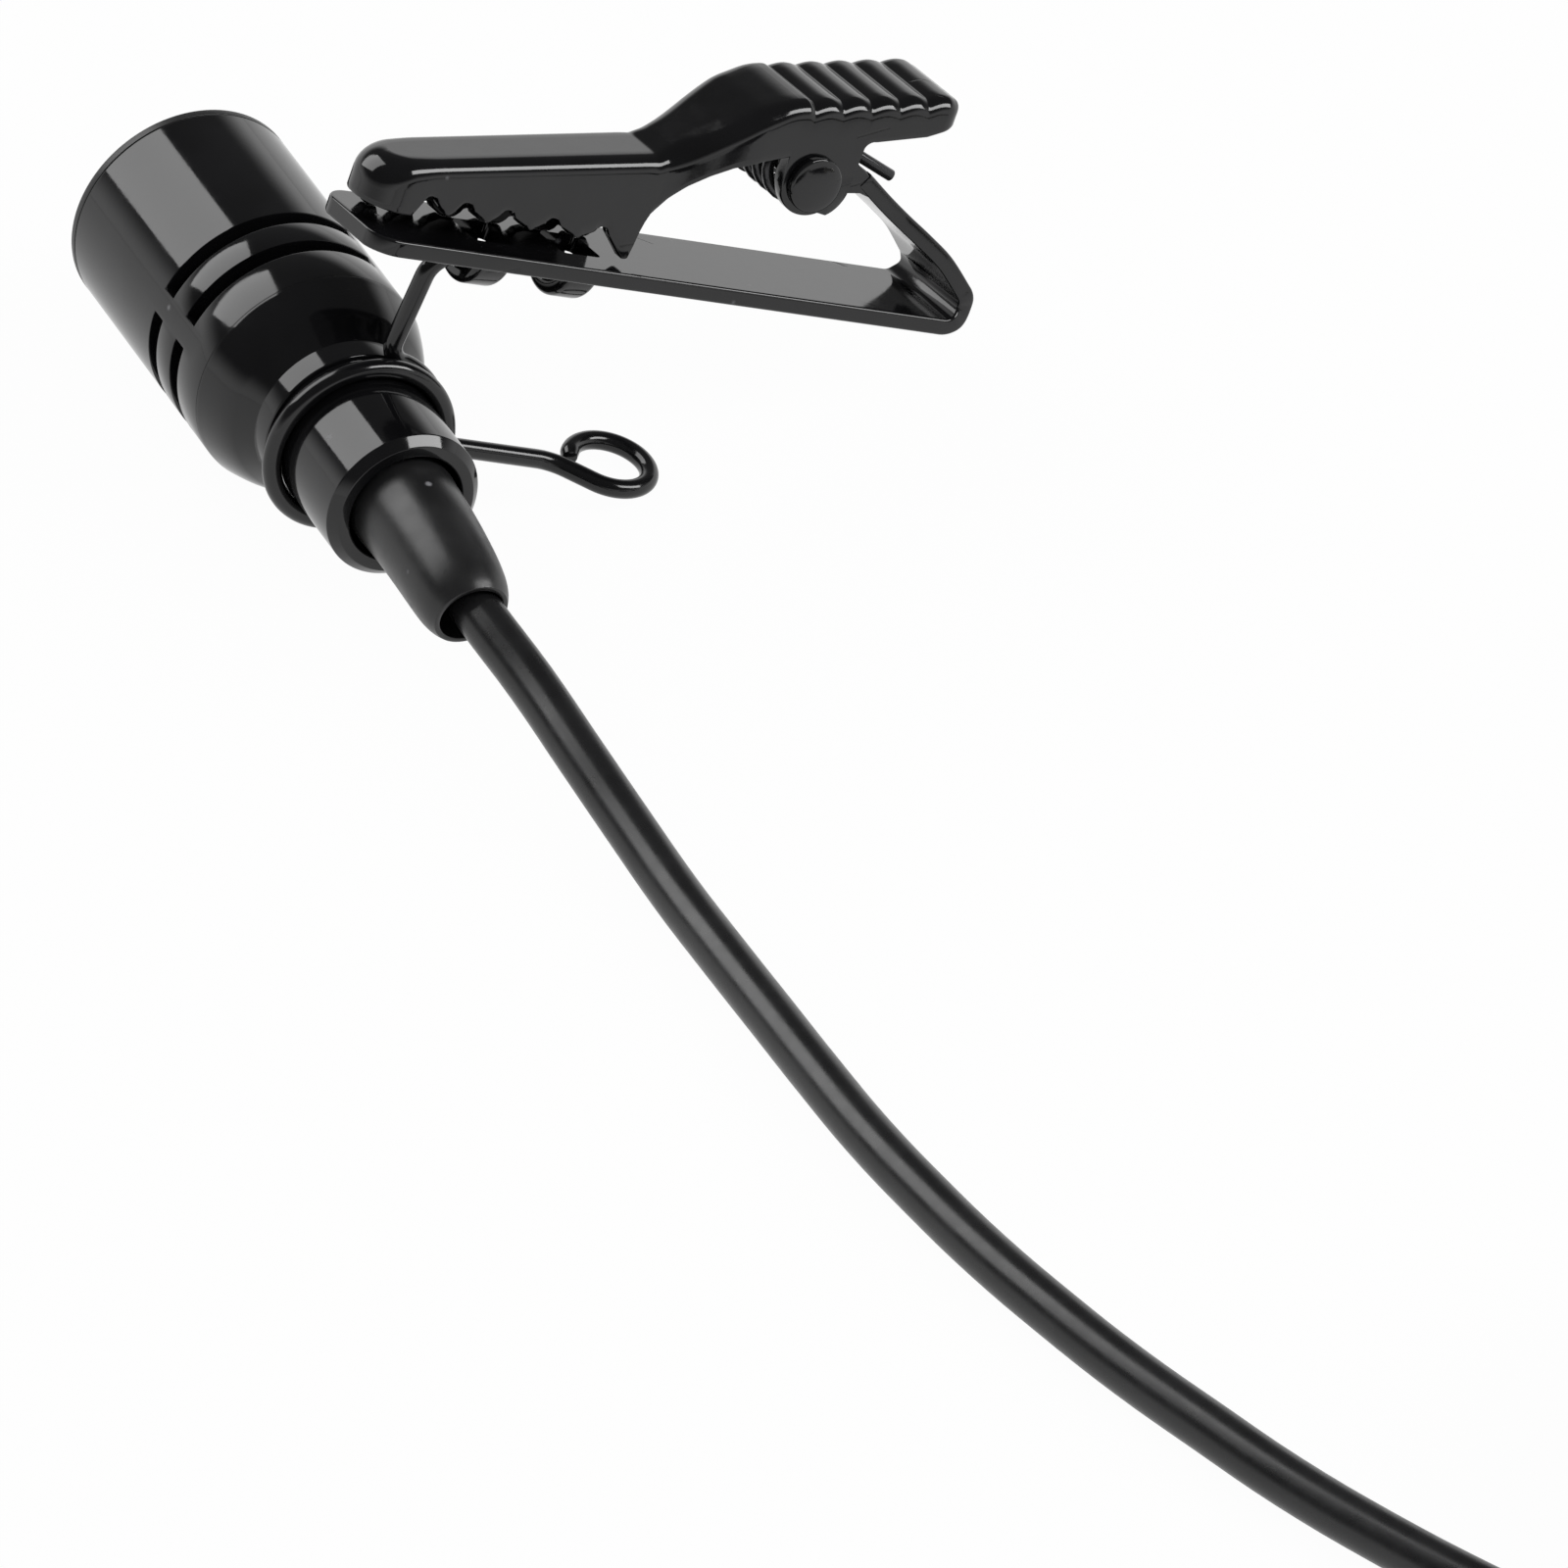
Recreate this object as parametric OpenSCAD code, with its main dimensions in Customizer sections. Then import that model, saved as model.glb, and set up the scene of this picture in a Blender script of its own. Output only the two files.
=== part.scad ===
// Lavalier microphone in a wire-ring tie clip, lying on a table.
// The microphone's axis runs along +Y. Everything rests on z = 0.

/* [Microphone] */
// Diameter of the head
head_d = 12; // [11.6:0.1:14]
// Length of the metal body, from the sleeve's rear rim to the front rim
body_len = 26.65; // [25.5:0.05:32]
// Distance from the rear rim to the head's rear shoulder
shoulder = 11.45; // [11:0.05:12]
// Diameter of the neck behind the shoulder
neck_d = 8.6; // [8.4:0.1:9.4]
// Distance from the rear rim to the front end of the neck
neck_end = 8.7; // [8.2:0.05:9.2]
// Length of the sleeve behind the neck
sleeve_len = 7; // [6.95:0.05:7.6]
// Diameter of the sleeve that the wire ring grips
sleeve_d = 8; // [7.6:0.1:8.2]
// Width of the polished chamfer at the sleeve's rear rim
chamfer = 0.45; // [0.2:0.05:0.7]
// Wall of the head around the capsule
head_wall = 0.8; // [0.6:0.05:0.85]
// Step of the bore that stops the capsule seat
bore_step = 0.25; // [0.2:0.05:0.5]
// Length of the thread between the head and the rear body
thread_len = 1.8; // [1.2:0.1:2]
// Bore of the rear body behind the thread
cavity_d = 6.6; // [6.5:0.1:7]
// Depth of the rear lip that keeps the boot in
lip_depth = 1.2; // [0.8:0.1:1.6]

/* [Slots] */
// Rows of slots along the head
slot_rows = 2; // [1:1:2]
// Slots in one row
slots_round = 3; // [2:1:6]
// Width of a slot along the head
slot_w = 0.92; // [0.5:0.02:1.2]
// Distance between rows
slot_pitch = 2.5; // [1.8:0.1:2.6]
// Distance from the shoulder to the rear row's centre
slot_start = 2.75; // [2.5:0.05:2.9]
// Angle of metal left between two slots of a row
slot_bridge = 12.4; // [8:0.2:30]
// Turn of the slots about the axis
slot_turn = 27.2; // [0:0.2:119]
// Thickness of the acoustic cloth behind the slots
cloth_t = 0.15; // [0.1:0.05:0.3]

/* [Capsule] */
// Diameter of the capsule can
can_d = 9.7; // [9.5:0.1:9.9]
// Height of the capsule can
can_h = 4.7; // [4.2:0.1:5.2]
// Wall of the can
can_t = 0.25; // [0.2:0.05:0.35]
// Thickness of the capsule board
board_t = 0.6; // [0.4:0.1:1]
// Thickness of the front bezel
bezel_t = 0.48; // [0.3:0.02:0.8]
// Width of the bezel's rim around the mesh
bezel_rim = 1.5; // [1.3:0.1:2]
// Thickness of the front mesh
mesh_t = 0.25; // [0.15:0.05:0.4]
// Side of one hole in the front mesh
mesh_hole = 0.6; // [0.4:0.1:0.9]
// Distance between holes in the front mesh
mesh_pitch = 1; // [0.95:0.05:1.5]
// Thickness of the wind foam
foam_t = 0.4; // [0.3:0.1:0.6]
// Thickness of the felt on the can
felt_t = 0.15; // [0.1:0.05:0.3]

/* [Boot and cable] */
// Diameter of the boot at the sleeve
boot_d = 5.3; // [4.8:0.1:5.5]
// Diameter of the boot at its free end
boot_end_d = 4.6; // [4.2:0.1:5]
// Length of the boot outside the sleeve
boot_len = 7.85; // [6:0.05:12]
// Drop of the boot's free end
boot_sag = 0.85; // [0:0.05:1.2]
// Sideways lean of the boot's free end
boot_lean = 0.17; // [0:0.01:0.3]
// Hole in the boot's free end
boot_hole_d = 3.3; // [3.1:0.1:3.4]
// Diameter of the cable
cable_d = 2.44; // [2.2:0.02:2.5]

/* [Wire mount] */
// Diameter of the wire
wire_d = 0.95; // [0.8:0.05:1]
// Distance from the rear rim to the ring's front strand
ring_y = 6.45; // [6.1:0.05:6.5]
// Step of the ring's wire along the sleeve in one turn
ring_pitch = 1; // [1:0.05:1.3]
// Height of the clip's run above the microphone's axis
run_h = 10.66; // [9.5:0.02:14]
// Length of the run under the clip
run_len = 9.8; // [9.4:0.1:12]
// Bend radius between the leg and the run
run_bend = 1.4; // [1:0.1:1.4]
// Bend radius between the leg and the ring
ring_bend = 1.2; // [0.8:0.1:1.6]
// Radius of the lever's eye, at the middle of the wire
eye_r = 2.025; // [1.8:0.025:2.3]

/* [Clip] */
// Pitch of the clip, front end up
clip_pitch = 25.64; // [15:0.02:35]
// Roll of the clip about the wire's run
clip_roll = -8.64; // [-20:0.02:20]
// Width of the lower jaw's plate
plate_w = 6.3; // [6:0.1:8]
// Length of the lower jaw's plate
plate_len = 35; // [33.5:0.1:38]
// Thickness of the lower jaw's sheet
plate_t = 0.85; // [0.6:0.05:1]
// Distance from the clip's front datum to the wire leg
leg_x = 4.76; // [4:0.02:5]
// Length of one wire strap
strap_len = 1.9; // [1.6:0.1:2]
// Distance from the wire leg to the first strap's middle
strap_x = 2.2; // [2.2:0.02:3]
// Distance between the two straps
strap_pitch = 5.1; // [4:0.1:6]
// Radius of a strap's arch
strap_r = 2.2; // [2:0.05:2.6]

/* [Upper jaw] */
// Width of the toothed channel
jaw_w = 4; // [3.8:0.1:4.8]
// Width of the pad and the pivot ears
pad_w = 5.8; // [5.7:0.1:7]
// Wall of the upper jaw
jaw_t = 0.7; // [0.5:0.05:0.75]
// Thickness of the web under the top face
web_t = 0.9; // [0.7:0.05:1.1]
// Teeth on each wall, behind the front lip
teeth = 5; // [3:1:5]
// Ribs on the pad
ribs = 6; // [4:1:7]
// Distance between the pad's ribs
rib_pitch = 1.55; // [1.2:0.05:1.6]
// Depth of the grooves between the ribs
rib_h = 0.22; // [0.1:0.02:0.35]
// Distance from the plate's rear end to the pivot
pivot_back = 11.85; // [11.6:0.05:12.2]
// Height of the pivot above the plate
pivot_z = 5.9; // [5.7:0.05:6.2]
// Radius of the pivot ears
ear_r = 1.75; // [1.6:0.05:2]
// Diameter of the pivot pin
pin_d = 1.2; // [1:0.1:1.4]
// Diameter of the pin's domed heads
pin_head_d = 2.7; // [2.2:0.1:3]
// Thickness of the lower jaw's pivot lugs
lug_t = 0.45; // [0.35:0.05:0.5]

/* [Spring] */
// Diameter of the spring wire
spring_d = 0.6; // [0.5:0.02:0.62]
// Mean radius of the spring coil
spring_r = 1.45; // [1.4:0.05:1.5]
// Step of the coil along the pin in one turn
spring_pitch = 1.02; // [1.01:0.01:1.06]

/* [Cable coil and plug] */
// Turns of cable in the coil
coil_turns = 12.42; // [11.42:1:13.42]
// Layers of the coil
coil_layers = 4; // [4:1:4]
// Radius of the innermost turn
coil_inner = 9; // [8.8:0.1:10]
// Distance between turns, side by side and one above the other
coil_step = 2.9; // [2.9:0.05:3.2]
// Thickness of the coil's tie
tie_t = 0.5; // [0.3:0.1:0.8]
// Width of the coil's tie
tie_w = 4; // [2:0.5:6]
// Diameter of the plug's shell
shell_d = 7.2; // [6.5:0.1:8]
// Length of the plug's shell
shell_len = 18; // [15:0.5:22]
// Diameter of the plug's contacts
jack_d = 3.5; // [3.5:0.1:3.6]
// Length of the plug's contacts
jack_len = 14; // [13.5:0.1:15]
// Length of the plug's boot
plug_boot_len = 9; // [7:0.5:12]

/* [Hidden] */
$fn = 48;
slip = 0.03; // gap of a close fit
run_fit = 0.05; // gap of a running fit
eps = 0.01; // overlap of pieces that are one solid
cut = 1; // how far a cutter passes the face it cuts

head_r = head_d / 2;
neck_r = neck_d / 2;
sleeve_r = sleeve_d / 2;
cavity_r = cavity_d / 2;
can_r = can_d / 2;
wire_r = wire_d / 2;
cable_r = cable_d / 2;
spring_wr = spring_d / 2;
pin_r = pin_d / 2;
shell_r = shell_d / 2;
jack_r = jack_d / 2;
mic_z = head_r; // the head lies on its side

// Bores and stations along the microphone's axis, from the rear rim forwards
seat_bore = head_r - head_wall;
slot_bore = seat_bore - bore_step;
bezel_a = body_len - bezel_t;
mesh_a = bezel_a - mesh_t;
foam_a = mesh_a - foam_t;
can_top = foam_a - felt_t;
can_a = can_top - can_h;
seat_lip = 0.2;
seat_a = can_a - seat_lip;
spigot_t = 0.35;
spigot_in = seat_bore - spigot_t;
spigot_a = can_top - 0.3;
ledge = 1.1;
taper_power = 0.45;
taper_steps = 10;

// Capsule stack, from the can's top plate downwards
top_t = 0.3;
crimp = 0.2;
under_top = can_top - top_t;
ring_t = 0.5;
film_t = 0.05;
spacer_t = 0.15;
plate_disc_t = 0.4;
film_a = under_top - ring_t - film_t;
spacer_a = film_a - spacer_t;
disc_a = spacer_a - plate_disc_t;
board_a = can_a + crimp;
board_top = board_a + board_t;
inner_r = can_r - can_t - slip;
disc_r = inner_r - 0.55;
holder_t = 0.85;
contact_r = inner_r - holder_t - slip;
contact_t = 0.3;

// Boot
flange_r = cavity_r - slip;
flange_t = 1.4;
boot_r = boot_d / 2;
boot_hole = boot_hole_d / 2;
boot_end_r = boot_end_d / 2;
lip_r = boot_r + 0.3;
ferrule_t = 0.55;
ferrule_len = 2.2;
ferrule_a = lip_depth + flange_t + slip;
tail_a = shoulder - 1.4;
boot_rings = 10;

// Wire ring: the strand's angle is measured from +X towards +Z
ring_r = sleeve_r + 0.025 + wire_r;
bend_lean = asin(ring_bend / (ring_r + ring_bend));
ring_start = 90 - bend_lean - clip_pitch;
ring_end = -364.4;
ring_last_y = ring_y + ring_pitch * (ring_end - ring_start) / 360;

// Lever and eye: the eye's plane is set by its normal. The lever meets its circle at a
// tangent, and the wire's end stops beside the lever.
eye_n = unit([0.297, -0.059, 0.953]);
eye_u = unit([1, 0, 0] - (eye_n * [1, 0, 0]) * eye_n);
eye_v = cross(eye_n, eye_u);
eye_z = wire_r + eye_r * sqrt(1 - eye_n.z * eye_n.z);
eye_c = [13, ring_y - 1.54, eye_z];
lever_reach = [-3.1, 0.43];
lever_corner = eye_c + lever_reach.x * eye_u + lever_reach.y * eye_v;
lever_drop = 0.9;
eye_from = atan2(lever_reach.y, lever_reach.x) + acos(eye_r / norm(lever_reach)) - 360;
eye_to = eye_from + 360 - acos(1 - (wire_d + slip) / eye_r);

// Clip: local x runs from front to rear, z is 0 at the plate's top face
run_z = -plate_t - wire_r - slip;
strap_wall = 0.75;
strap_z = run_z - wire_r - slip + strap_r - strap_wall;
strap_xs = [leg_x + strap_x, leg_x + strap_x + strap_pitch];
window = strap_len + 0.4;
plate_front = -0.7;
plate_rear = plate_front + plate_len;
pivot_x = plate_rear - pivot_back;
bend_r = 1.5;
bend_c = [plate_rear - bend_r - 0.2, bend_r - plate_t];
tail_to = 45;
lug_out = pad_w / 2 - jaw_t - run_fit;
lug_in = lug_out - lug_t;
lug_r = 1.5;
head_h = 0.5;

// Free cable: its points, from the boot's end to the coil, measured on the table from
// the point under the sleeve's rear rim
cable_route = [
    [0.8, -12.5, 4.0], [1.1, -17.5, 3.0], [1.4, -22, 2.05], [1.6, -27, 1.35], [1.7, -32, 1.25],
    [1.8, -37, 1.25], [1.9, -42, 1.25], [2.1, -47, 1.25], [2.6, -52, 1.25], [3.3, -57, 1.25],
    [4.3, -62, 1.25], [5.5, -67, 1.25], [7.0, -72, 1.25], [8.6, -77, 1.25], [10.6, -82, 1.25],
    [12.9, -87, 1.3], [15.5, -92, 1.4], [18.2, -97, 1.6]];
coil_c = [38, -94.5];
coil_from = 208;
coil_z = cable_r + tie_t + slip;
coil_sides = 6;
coil_rings = 24;
lead_out = cable_d;
coil_rise = (coil_layers - 1) * coil_step;
coil_to = coil_from + 360 * coil_turns;
layer_turns = coil_turns / coil_layers;
coil_outer = coil_inner + coil_step * layer_turns;
coil_in = lead_in_point(coil_from, coil_z, -1);
coil_out = lead_in_point(coil_to, coil_z + coil_rise, 1);
end_run = 24;
plug_y = coil_out.y + end_run;
plug_x = coil_out.x;
boot_in = [boot_hole_d / 2 - cable_r - boot_lean - 0.06, -boot_len, mic_z - boot_sag];

// Stations along the plug's axis
shell_a = plug_boot_len;
jack_a = shell_a + shell_len;
jack_root = 4;
jack_neck = 0.4;
jack_relief = 0.3;
face_r = shell_r - 1.1;
sleeve_part = jack_len * 0.46;
band = 0.9;
ring_part = 2.4;
core_r = 0.45;
tube_r = 1.1;

// Where the middle of the object's footprint lies, without the cable
clip_origin = [run_h * cos(90 - clip_pitch) - leg_x * cos(clip_pitch), ring_y,
    mic_z + run_h * sin(90 - clip_pitch) + leg_x * sin(clip_pitch)];
rear_x = clip_origin.x + plate_rear * cos(clip_pitch) + 1.15;
origin = [(rear_x - head_r) / 2, (body_len - boot_len) / 2 - 0.2, 0];

// ---- Vectors and swept tubes ----

function unit(v) = v / norm(v);

function add_up(v, i = 0) = i >= len(v) ? 0 : v[i] + add_up(v, i + 1);

// Directions along a path, with the first and last ones given or taken from the path
function headings(path, first, last) = [for (i = [0:len(path) - 1])
    i == 0 && first != undef ? unit(first)
    : i == len(path) - 1 && last != undef ? unit(last)
    : unit(path[min(i + 1, len(path) - 1)] - path[max(i - 1, 0)])];

function across(v) = unit(abs(v.z) < 0.9 ? cross(v, [0, 0, 1]) : cross(v, [0, 1, 0]));

// A direction square to each heading that turns as little as it can along the path
function carried(t) = [for (i = 0, n = across(t[0]); i < len(t);
    i = i + 1, n = i < len(t) ? unit(n - (n * t[i]) * t[i]) : n) n];

function tube_faces(rings, sides) = concat(
    [for (i = [0:rings - 2], j = [0:sides - 1], k = [0, 1])
        let (a = i * sides + j, b = i * sides + (j + 1) % sides)
        k == 0 ? [a, b + sides, b] : [a, a + sides, b + sides]],
    [for (j = [1:sides - 2]) [0, j, j + 1]],
    [for (j = [1:sides - 2]) let (e = (rings - 1) * sides) [e, e + j + 1, e + j]]);

// One tube along a path. radii holds one radius for each point.
module swept(path, radii, sides, first = undef, last = undef) {
    t = headings(path, first, last);
    n = carried(t);
    points = [for (i = [0:len(path) - 1], j = [0:sides - 1])
        let (b = cross(t[i], n[i]), w = 360 * j / sides)
        path[i] + radii[i] * (cos(w) * n[i] + sin(w) * b)];
    polyhedron(points, tube_faces(len(path), sides));
}

function same(value, path) = [for (p = path) value];

// Points of an arc that rounds the corner b between a and c
function corner(a, b, c, r, steps) =
    let (u = unit(a - b), v = unit(c - b), half = acos(u * v) / 2,
        reach = r / tan(half), mid = b + unit(u + v) * r / sin(half),
        from = b + u * reach - mid, to = b + v * reach - mid, turn = 180 - 2 * half)
    [for (i = [0:steps]) let (w = turn * i / steps)
        mid + (from * sin(turn - w) + to * sin(w)) / sin(turn)];

// Points of a flat arc, for outlines
function arc(c, r, from, to, steps) = [for (i = [0:steps])
    let (w = from + (to - from) * i / steps) c + r * [cos(w), sin(w)]];

// Smallest distance between points of a path that are more than skip steps apart
function least_gap(path, skip) = min([for (i = [0:2:len(path) - 1], j = [i + skip:1:len(path) - 1])
    norm(path[i] - path[j])]);

// ---- Placing ----

module placed() {
    translate(-origin)
        children();
}

// Local +Z runs along the microphone's axis, from the rear rim to the front
module on_mic() {
    placed()
        translate([0, 0, mic_z])
            rotate([-90, 0, 0])
                children();
}

// Local +Z runs up the wire's leg, and +X along the clip
module on_leg() {
    placed()
        translate([0, ring_y, mic_z])
            rotate([0, clip_pitch, 0])
                children();
}

// Local x from the clip's front to its rear, z is 0 at the plate's top face
module on_clip() {
    placed()
        translate(clip_origin)
            rotate([0, clip_pitch, 0])
                rotate([clip_roll, 0, 0])
                    translate([0, 0, -run_z])
                        children();
}

// Local +Z runs along the plug's axis, from its boot to its tip
module on_plug() {
    placed()
        translate([plug_x, plug_y, shell_r])
            rotate([-90, 0, 0])
                children();
}

// A flat shape in x and z, with its thickness along y
module slab(thick) {
    rotate([90, 0, 0])
        linear_extrude(thick, center = true)
            children();
}

module tube(r_out, r_in, from, to) {
    translate([0, 0, from])
        difference() {
            cylinder(h = to - from, r = r_out);
            translate([0, 0, -cut])
                cylinder(h = to - from + 2 * cut, r = r_in);
        }
}

module disc(r, from, to) {
    translate([0, 0, from])
        cylinder(h = to - from, r = r);
}

module revolved(outline) {
    rotate_extrude()
        polygon(outline);
}

// ---- Microphone ----

module slot_cutters() {
    arc_angle = 360 / slots_round - slot_bridge;
    for (row = [0:slot_rows - 1])
        for (i = [0:slots_round - 1])
            translate([0, 0, shoulder + slot_start + row * slot_pitch - slot_w / 2])
                rotate([0, 0, slot_turn + 360 * i / slots_round - arc_angle / 2])
                    rotate_extrude(angle = arc_angle)
                        translate([slot_bore - cut, 0])
                            square([head_r - slot_bore + 2 * cut, slot_w]);
}

module housing() {
    color("#18181a")
        on_mic()
            difference() {
                revolved([
                    [seat_bore, shoulder], [head_r, shoulder], [head_r, bezel_a], [seat_bore, bezel_a],
                    [seat_bore, seat_a], [slot_bore, seat_a], [slot_bore, shoulder + thread_len],
                    [seat_bore, shoulder + thread_len]]);
                slot_cutters();
            }
}

module front_bezel() {
    rim = 0.15;
    color("#18181a")
        on_mic()
            revolved(concat(
                [[spigot_in, spigot_a], [seat_bore - slip, spigot_a], [seat_bore - slip, bezel_a],
                    [head_r, bezel_a]],
                arc([head_r - rim, body_len - rim], rim, 0, 90, 4),
                [[head_r - bezel_rim, body_len], [head_r - bezel_rim, bezel_a], [spigot_in, bezel_a]]));
}

module front_mesh() {
    r = spigot_in - slip;
    holes = floor((r - mesh_hole) / mesh_pitch);
    color("#2a2a2c")
        on_mic()
            difference() {
                disc(r, mesh_a, bezel_a);
                for (i = [-holes:holes])
                    for (j = [-holes:holes])
                        if (norm([i, j]) * mesh_pitch < r - mesh_hole)
                            translate([i * mesh_pitch, j * mesh_pitch, mesh_a + mesh_t / 2])
                                cube([mesh_hole, mesh_hole, mesh_t + 2 * cut], center = true);
            }
}

module foam_disc() {
    color("#3c3c3c")
        on_mic()
            disc(spigot_in - slip, foam_a, mesh_a);
}

module slot_cloth() {
    color("#202020")
        on_mic()
            tube(slot_bore - slip, slot_bore - slip - cloth_t, shoulder + thread_len, seat_a - 0.4);
}

module capsule_seat() {
    color("#303030")
        on_mic()
            revolved([
                [can_r - 0.7, seat_a], [seat_bore - slip, seat_a], [seat_bore - slip, spigot_a - slip],
                [can_r + slip, spigot_a - slip], [can_r + slip, can_a], [can_r - 0.7, can_a]]);
}

module capsule_can() {
    inner = can_r - can_t;
    color("#b8b8ba")
        on_mic()
            difference() {
                revolved([
                    [0, under_top], [0, can_top], [can_r, can_top], [can_r, can_a],
                    [inner - 0.4, can_a], [inner - 0.4, can_a + crimp - eps], [inner, can_a + crimp - eps],
                    [inner, under_top]]);
                for (i = [0:2])
                    rotate([0, 0, 120 * i])
                        translate([1.4, 0, under_top - cut])
                            cylinder(h = top_t + 2 * cut, r = 0.5);
            }
}

module capsule_felt() {
    color("#101010")
        on_mic()
            disc(can_r - 0.3, can_top, foam_a);
}

module diaphragm_ring() {
    color("#c8a24a")
        on_mic()
            tube(inner_r, inner_r - 0.6, under_top - ring_t, under_top);
}

module diaphragm() {
    color("#d8d8d0")
        on_mic()
            disc(inner_r, film_a, under_top - ring_t);
}

module spacer_ring() {
    color("#e8e8e8")
        on_mic()
            tube(inner_r, inner_r - 0.5, spacer_a, film_a);
}

module backplate() {
    color("#c8a24a")
        on_mic()
            difference() {
                disc(disc_r, disc_a, spacer_a);
                for (i = [0:5])
                    rotate([0, 0, 60 * i])
                        translate([disc_r * 0.6, 0, disc_a - cut])
                            cylinder(h = plate_disc_t + 2 * cut, r = 0.4);
            }
}

module backplate_holder() {
    color("#f0f0f0")
        on_mic()
            revolved([
                [inner_r - holder_t, board_top], [inner_r, board_top], [inner_r, spacer_a],
                [disc_r + slip, spacer_a], [disc_r + slip, disc_a], [inner_r - holder_t, disc_a]]);
}

module contact_ring() {
    color("#c8a24a")
        on_mic()
            tube(contact_r, contact_r - contact_t, board_top, disc_a);
}

module capsule_board() {
    color("#2f6b3a")
        on_mic()
            disc(inner_r, board_a, board_top);
}

module transistor() {
    body = [2.4, 1.4, 1.1];
    color("#151515")
        on_mic()
            translate([-body.x / 2, -body.y / 2, board_top])
                cube(body);
}

pad_x = 1.3;
pad_r = 0.5;

module solder_pads() {
    color("#c0c0c4")
        on_mic()
            for (side = [-1, 1])
                translate([side * pad_x, 0, board_a])
                    difference() {
                        sphere(r = pad_r);
                        translate([-pad_r - cut, -pad_r - cut, 0])
                            cube(2 * pad_r + 2 * cut);
                    }
}

module rear_body() {
    span = shoulder - neck_end;
    taper = [for (i = [0:taper_steps]) let (t = pow(i / taper_steps, 2))
        [neck_r + (head_r - neck_r) * pow(t, taper_power), neck_end + span * t]];
    thread_r = seat_bore - slip;
    color("#18181a")
        on_mic()
            revolved(concat(
                [[lip_r, 0], [sleeve_r - chamfer, 0], [sleeve_r, chamfer], [sleeve_r, sleeve_len],
                    [neck_r, sleeve_len]],
                taper,
                [[thread_r, shoulder], [thread_r, shoulder + thread_len],
                    [cavity_r + 0.8, shoulder + thread_len], [cavity_r + 0.8, shoulder - ledge],
                    [cavity_r, shoulder - ledge], [cavity_r, lip_depth], [lip_r, lip_depth]]));
}

lead_r = 0.3;

// An S-shaped lead from the cable's end to a pad on the board
module lead(side) {
    steps = 8;
    from = [side * 0.5, 0, tail_a];
    to = [side * pad_x, 0, board_a - pad_r];
    path = [for (i = [0:steps]) let (t = i / steps)
        [from.x + (to.x - from.x) * (1 - cos(180 * t)) / 2, 0, from.z + (to.z - from.z) * t]];
    on_mic()
        swept(path, same(lead_r, path), 8, [0, 0, 1], [0, 0, 1]);
}

module signal_lead() {
    color("#c23a2e")
        lead(1);
}

module shield_lead() {
    color("#c9c9c9")
        lead(-1);
}

module crimp_ferrule() {
    color("#b4b4b8")
        on_mic()
            tube(cable_r + slip + ferrule_t, cable_r + slip, ferrule_a, ferrule_a + ferrule_len);
}

// The boot's centre line outside the sleeve, from the rear rim to its free end
boot_path = [for (i = [0:boot_rings]) let (t = i / boot_rings)
    [-boot_lean * t * t, -boot_len * t, mic_z - boot_sag * t * t]];
boot_tip = unit([-2 * boot_lean, -boot_len, -2 * boot_sag]);
tail_path = [for (i = [0:boot_rings]) let (t = i / boot_rings)
    [boot_in.x * t * t, -boot_len * t, mic_z - boot_sag * t * t]];
tail_tip = unit([2 * boot_in.x, -boot_len, -2 * boot_sag]);

module cable_tail() {
    path = concat([[0, tail_a, mic_z]], tail_path);
    color("#1b1b1c")
        placed()
            swept(path, same(cable_r, path), 8, [0, -1, 0], tail_tip);
}

module boot() {
    edge = 0.45;
    grip = lip_depth + flange_t;
    root = 0.3;
    radii = concat([boot_r - slip], [for (i = [0:boot_rings]) let (t = i / boot_rings)
        boot_r - slip + (boot_end_r - boot_r) * pow(t, 1.5) - edge * pow(t, 14)]);
    skin = concat([[0, root, mic_z]], boot_path);
    hole = concat([[0, grip + cut, mic_z]], boot_path, [boot_path[boot_rings] + boot_tip * cut]);
    color("#232325")
        placed()
            difference() {
                union() {
                    swept(skin, radii, 24, [0, -1, 0], boot_tip);
                    translate([0, 0, mic_z])
                        rotate([-90, 0, 0]) {
                            disc(boot_r, 0, lip_depth + eps);
                            disc(flange_r, lip_depth, grip);
                        }
                }
                swept(hole, same(boot_hole, hole), 16, [0, -1, 0], boot_tip);
            }
}

// ---- Wire mount ----

module wire_bend(r, from, angle) {
    rotate([90, 0, 0])
        rotate([0, 0, from])
            rotate_extrude(angle = angle)
                translate([r, 0])
                    circle(r = wire_r);
}

module mount_wire() {
    bend_z = (ring_r + ring_bend) * cos(bend_lean);
    color("#161617")
        on_leg() {
            translate([ring_bend, 0, bend_z])
                wire_bend(ring_bend, 180, 90 - bend_lean);
            translate([0, 0, bend_z])
                cylinder(h = run_h - run_bend - bend_z, r = wire_r);
            translate([run_bend, 0, run_h - run_bend])
                wire_bend(run_bend, 90, 90);
            translate([run_bend, 0, run_h])
                rotate([0, 90, 0])
                    cylinder(h = run_len - run_bend, r = wire_r);
        }
}

function ring_point(w, y) = [ring_r * cos(w), y, mic_z + ring_r * sin(w)];

ring_path = [for (i = [0:44]) let (t = i / 44)
    ring_point(ring_start + (ring_end - ring_start) * t, ring_y + (ring_last_y - ring_y) * t)];
ring_leave = [sin(ring_end), 0, -cos(ring_end)];

module ring_coil() {
    color("#161617")
        placed()
            swept(ring_path, same(wire_r, ring_path), 10, [sin(ring_start), 0, -cos(ring_start)],
                ring_leave);
}

function eye_point(w) = eye_c + eye_r * (cos(w) * eye_u + sin(w) * eye_v);

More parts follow.
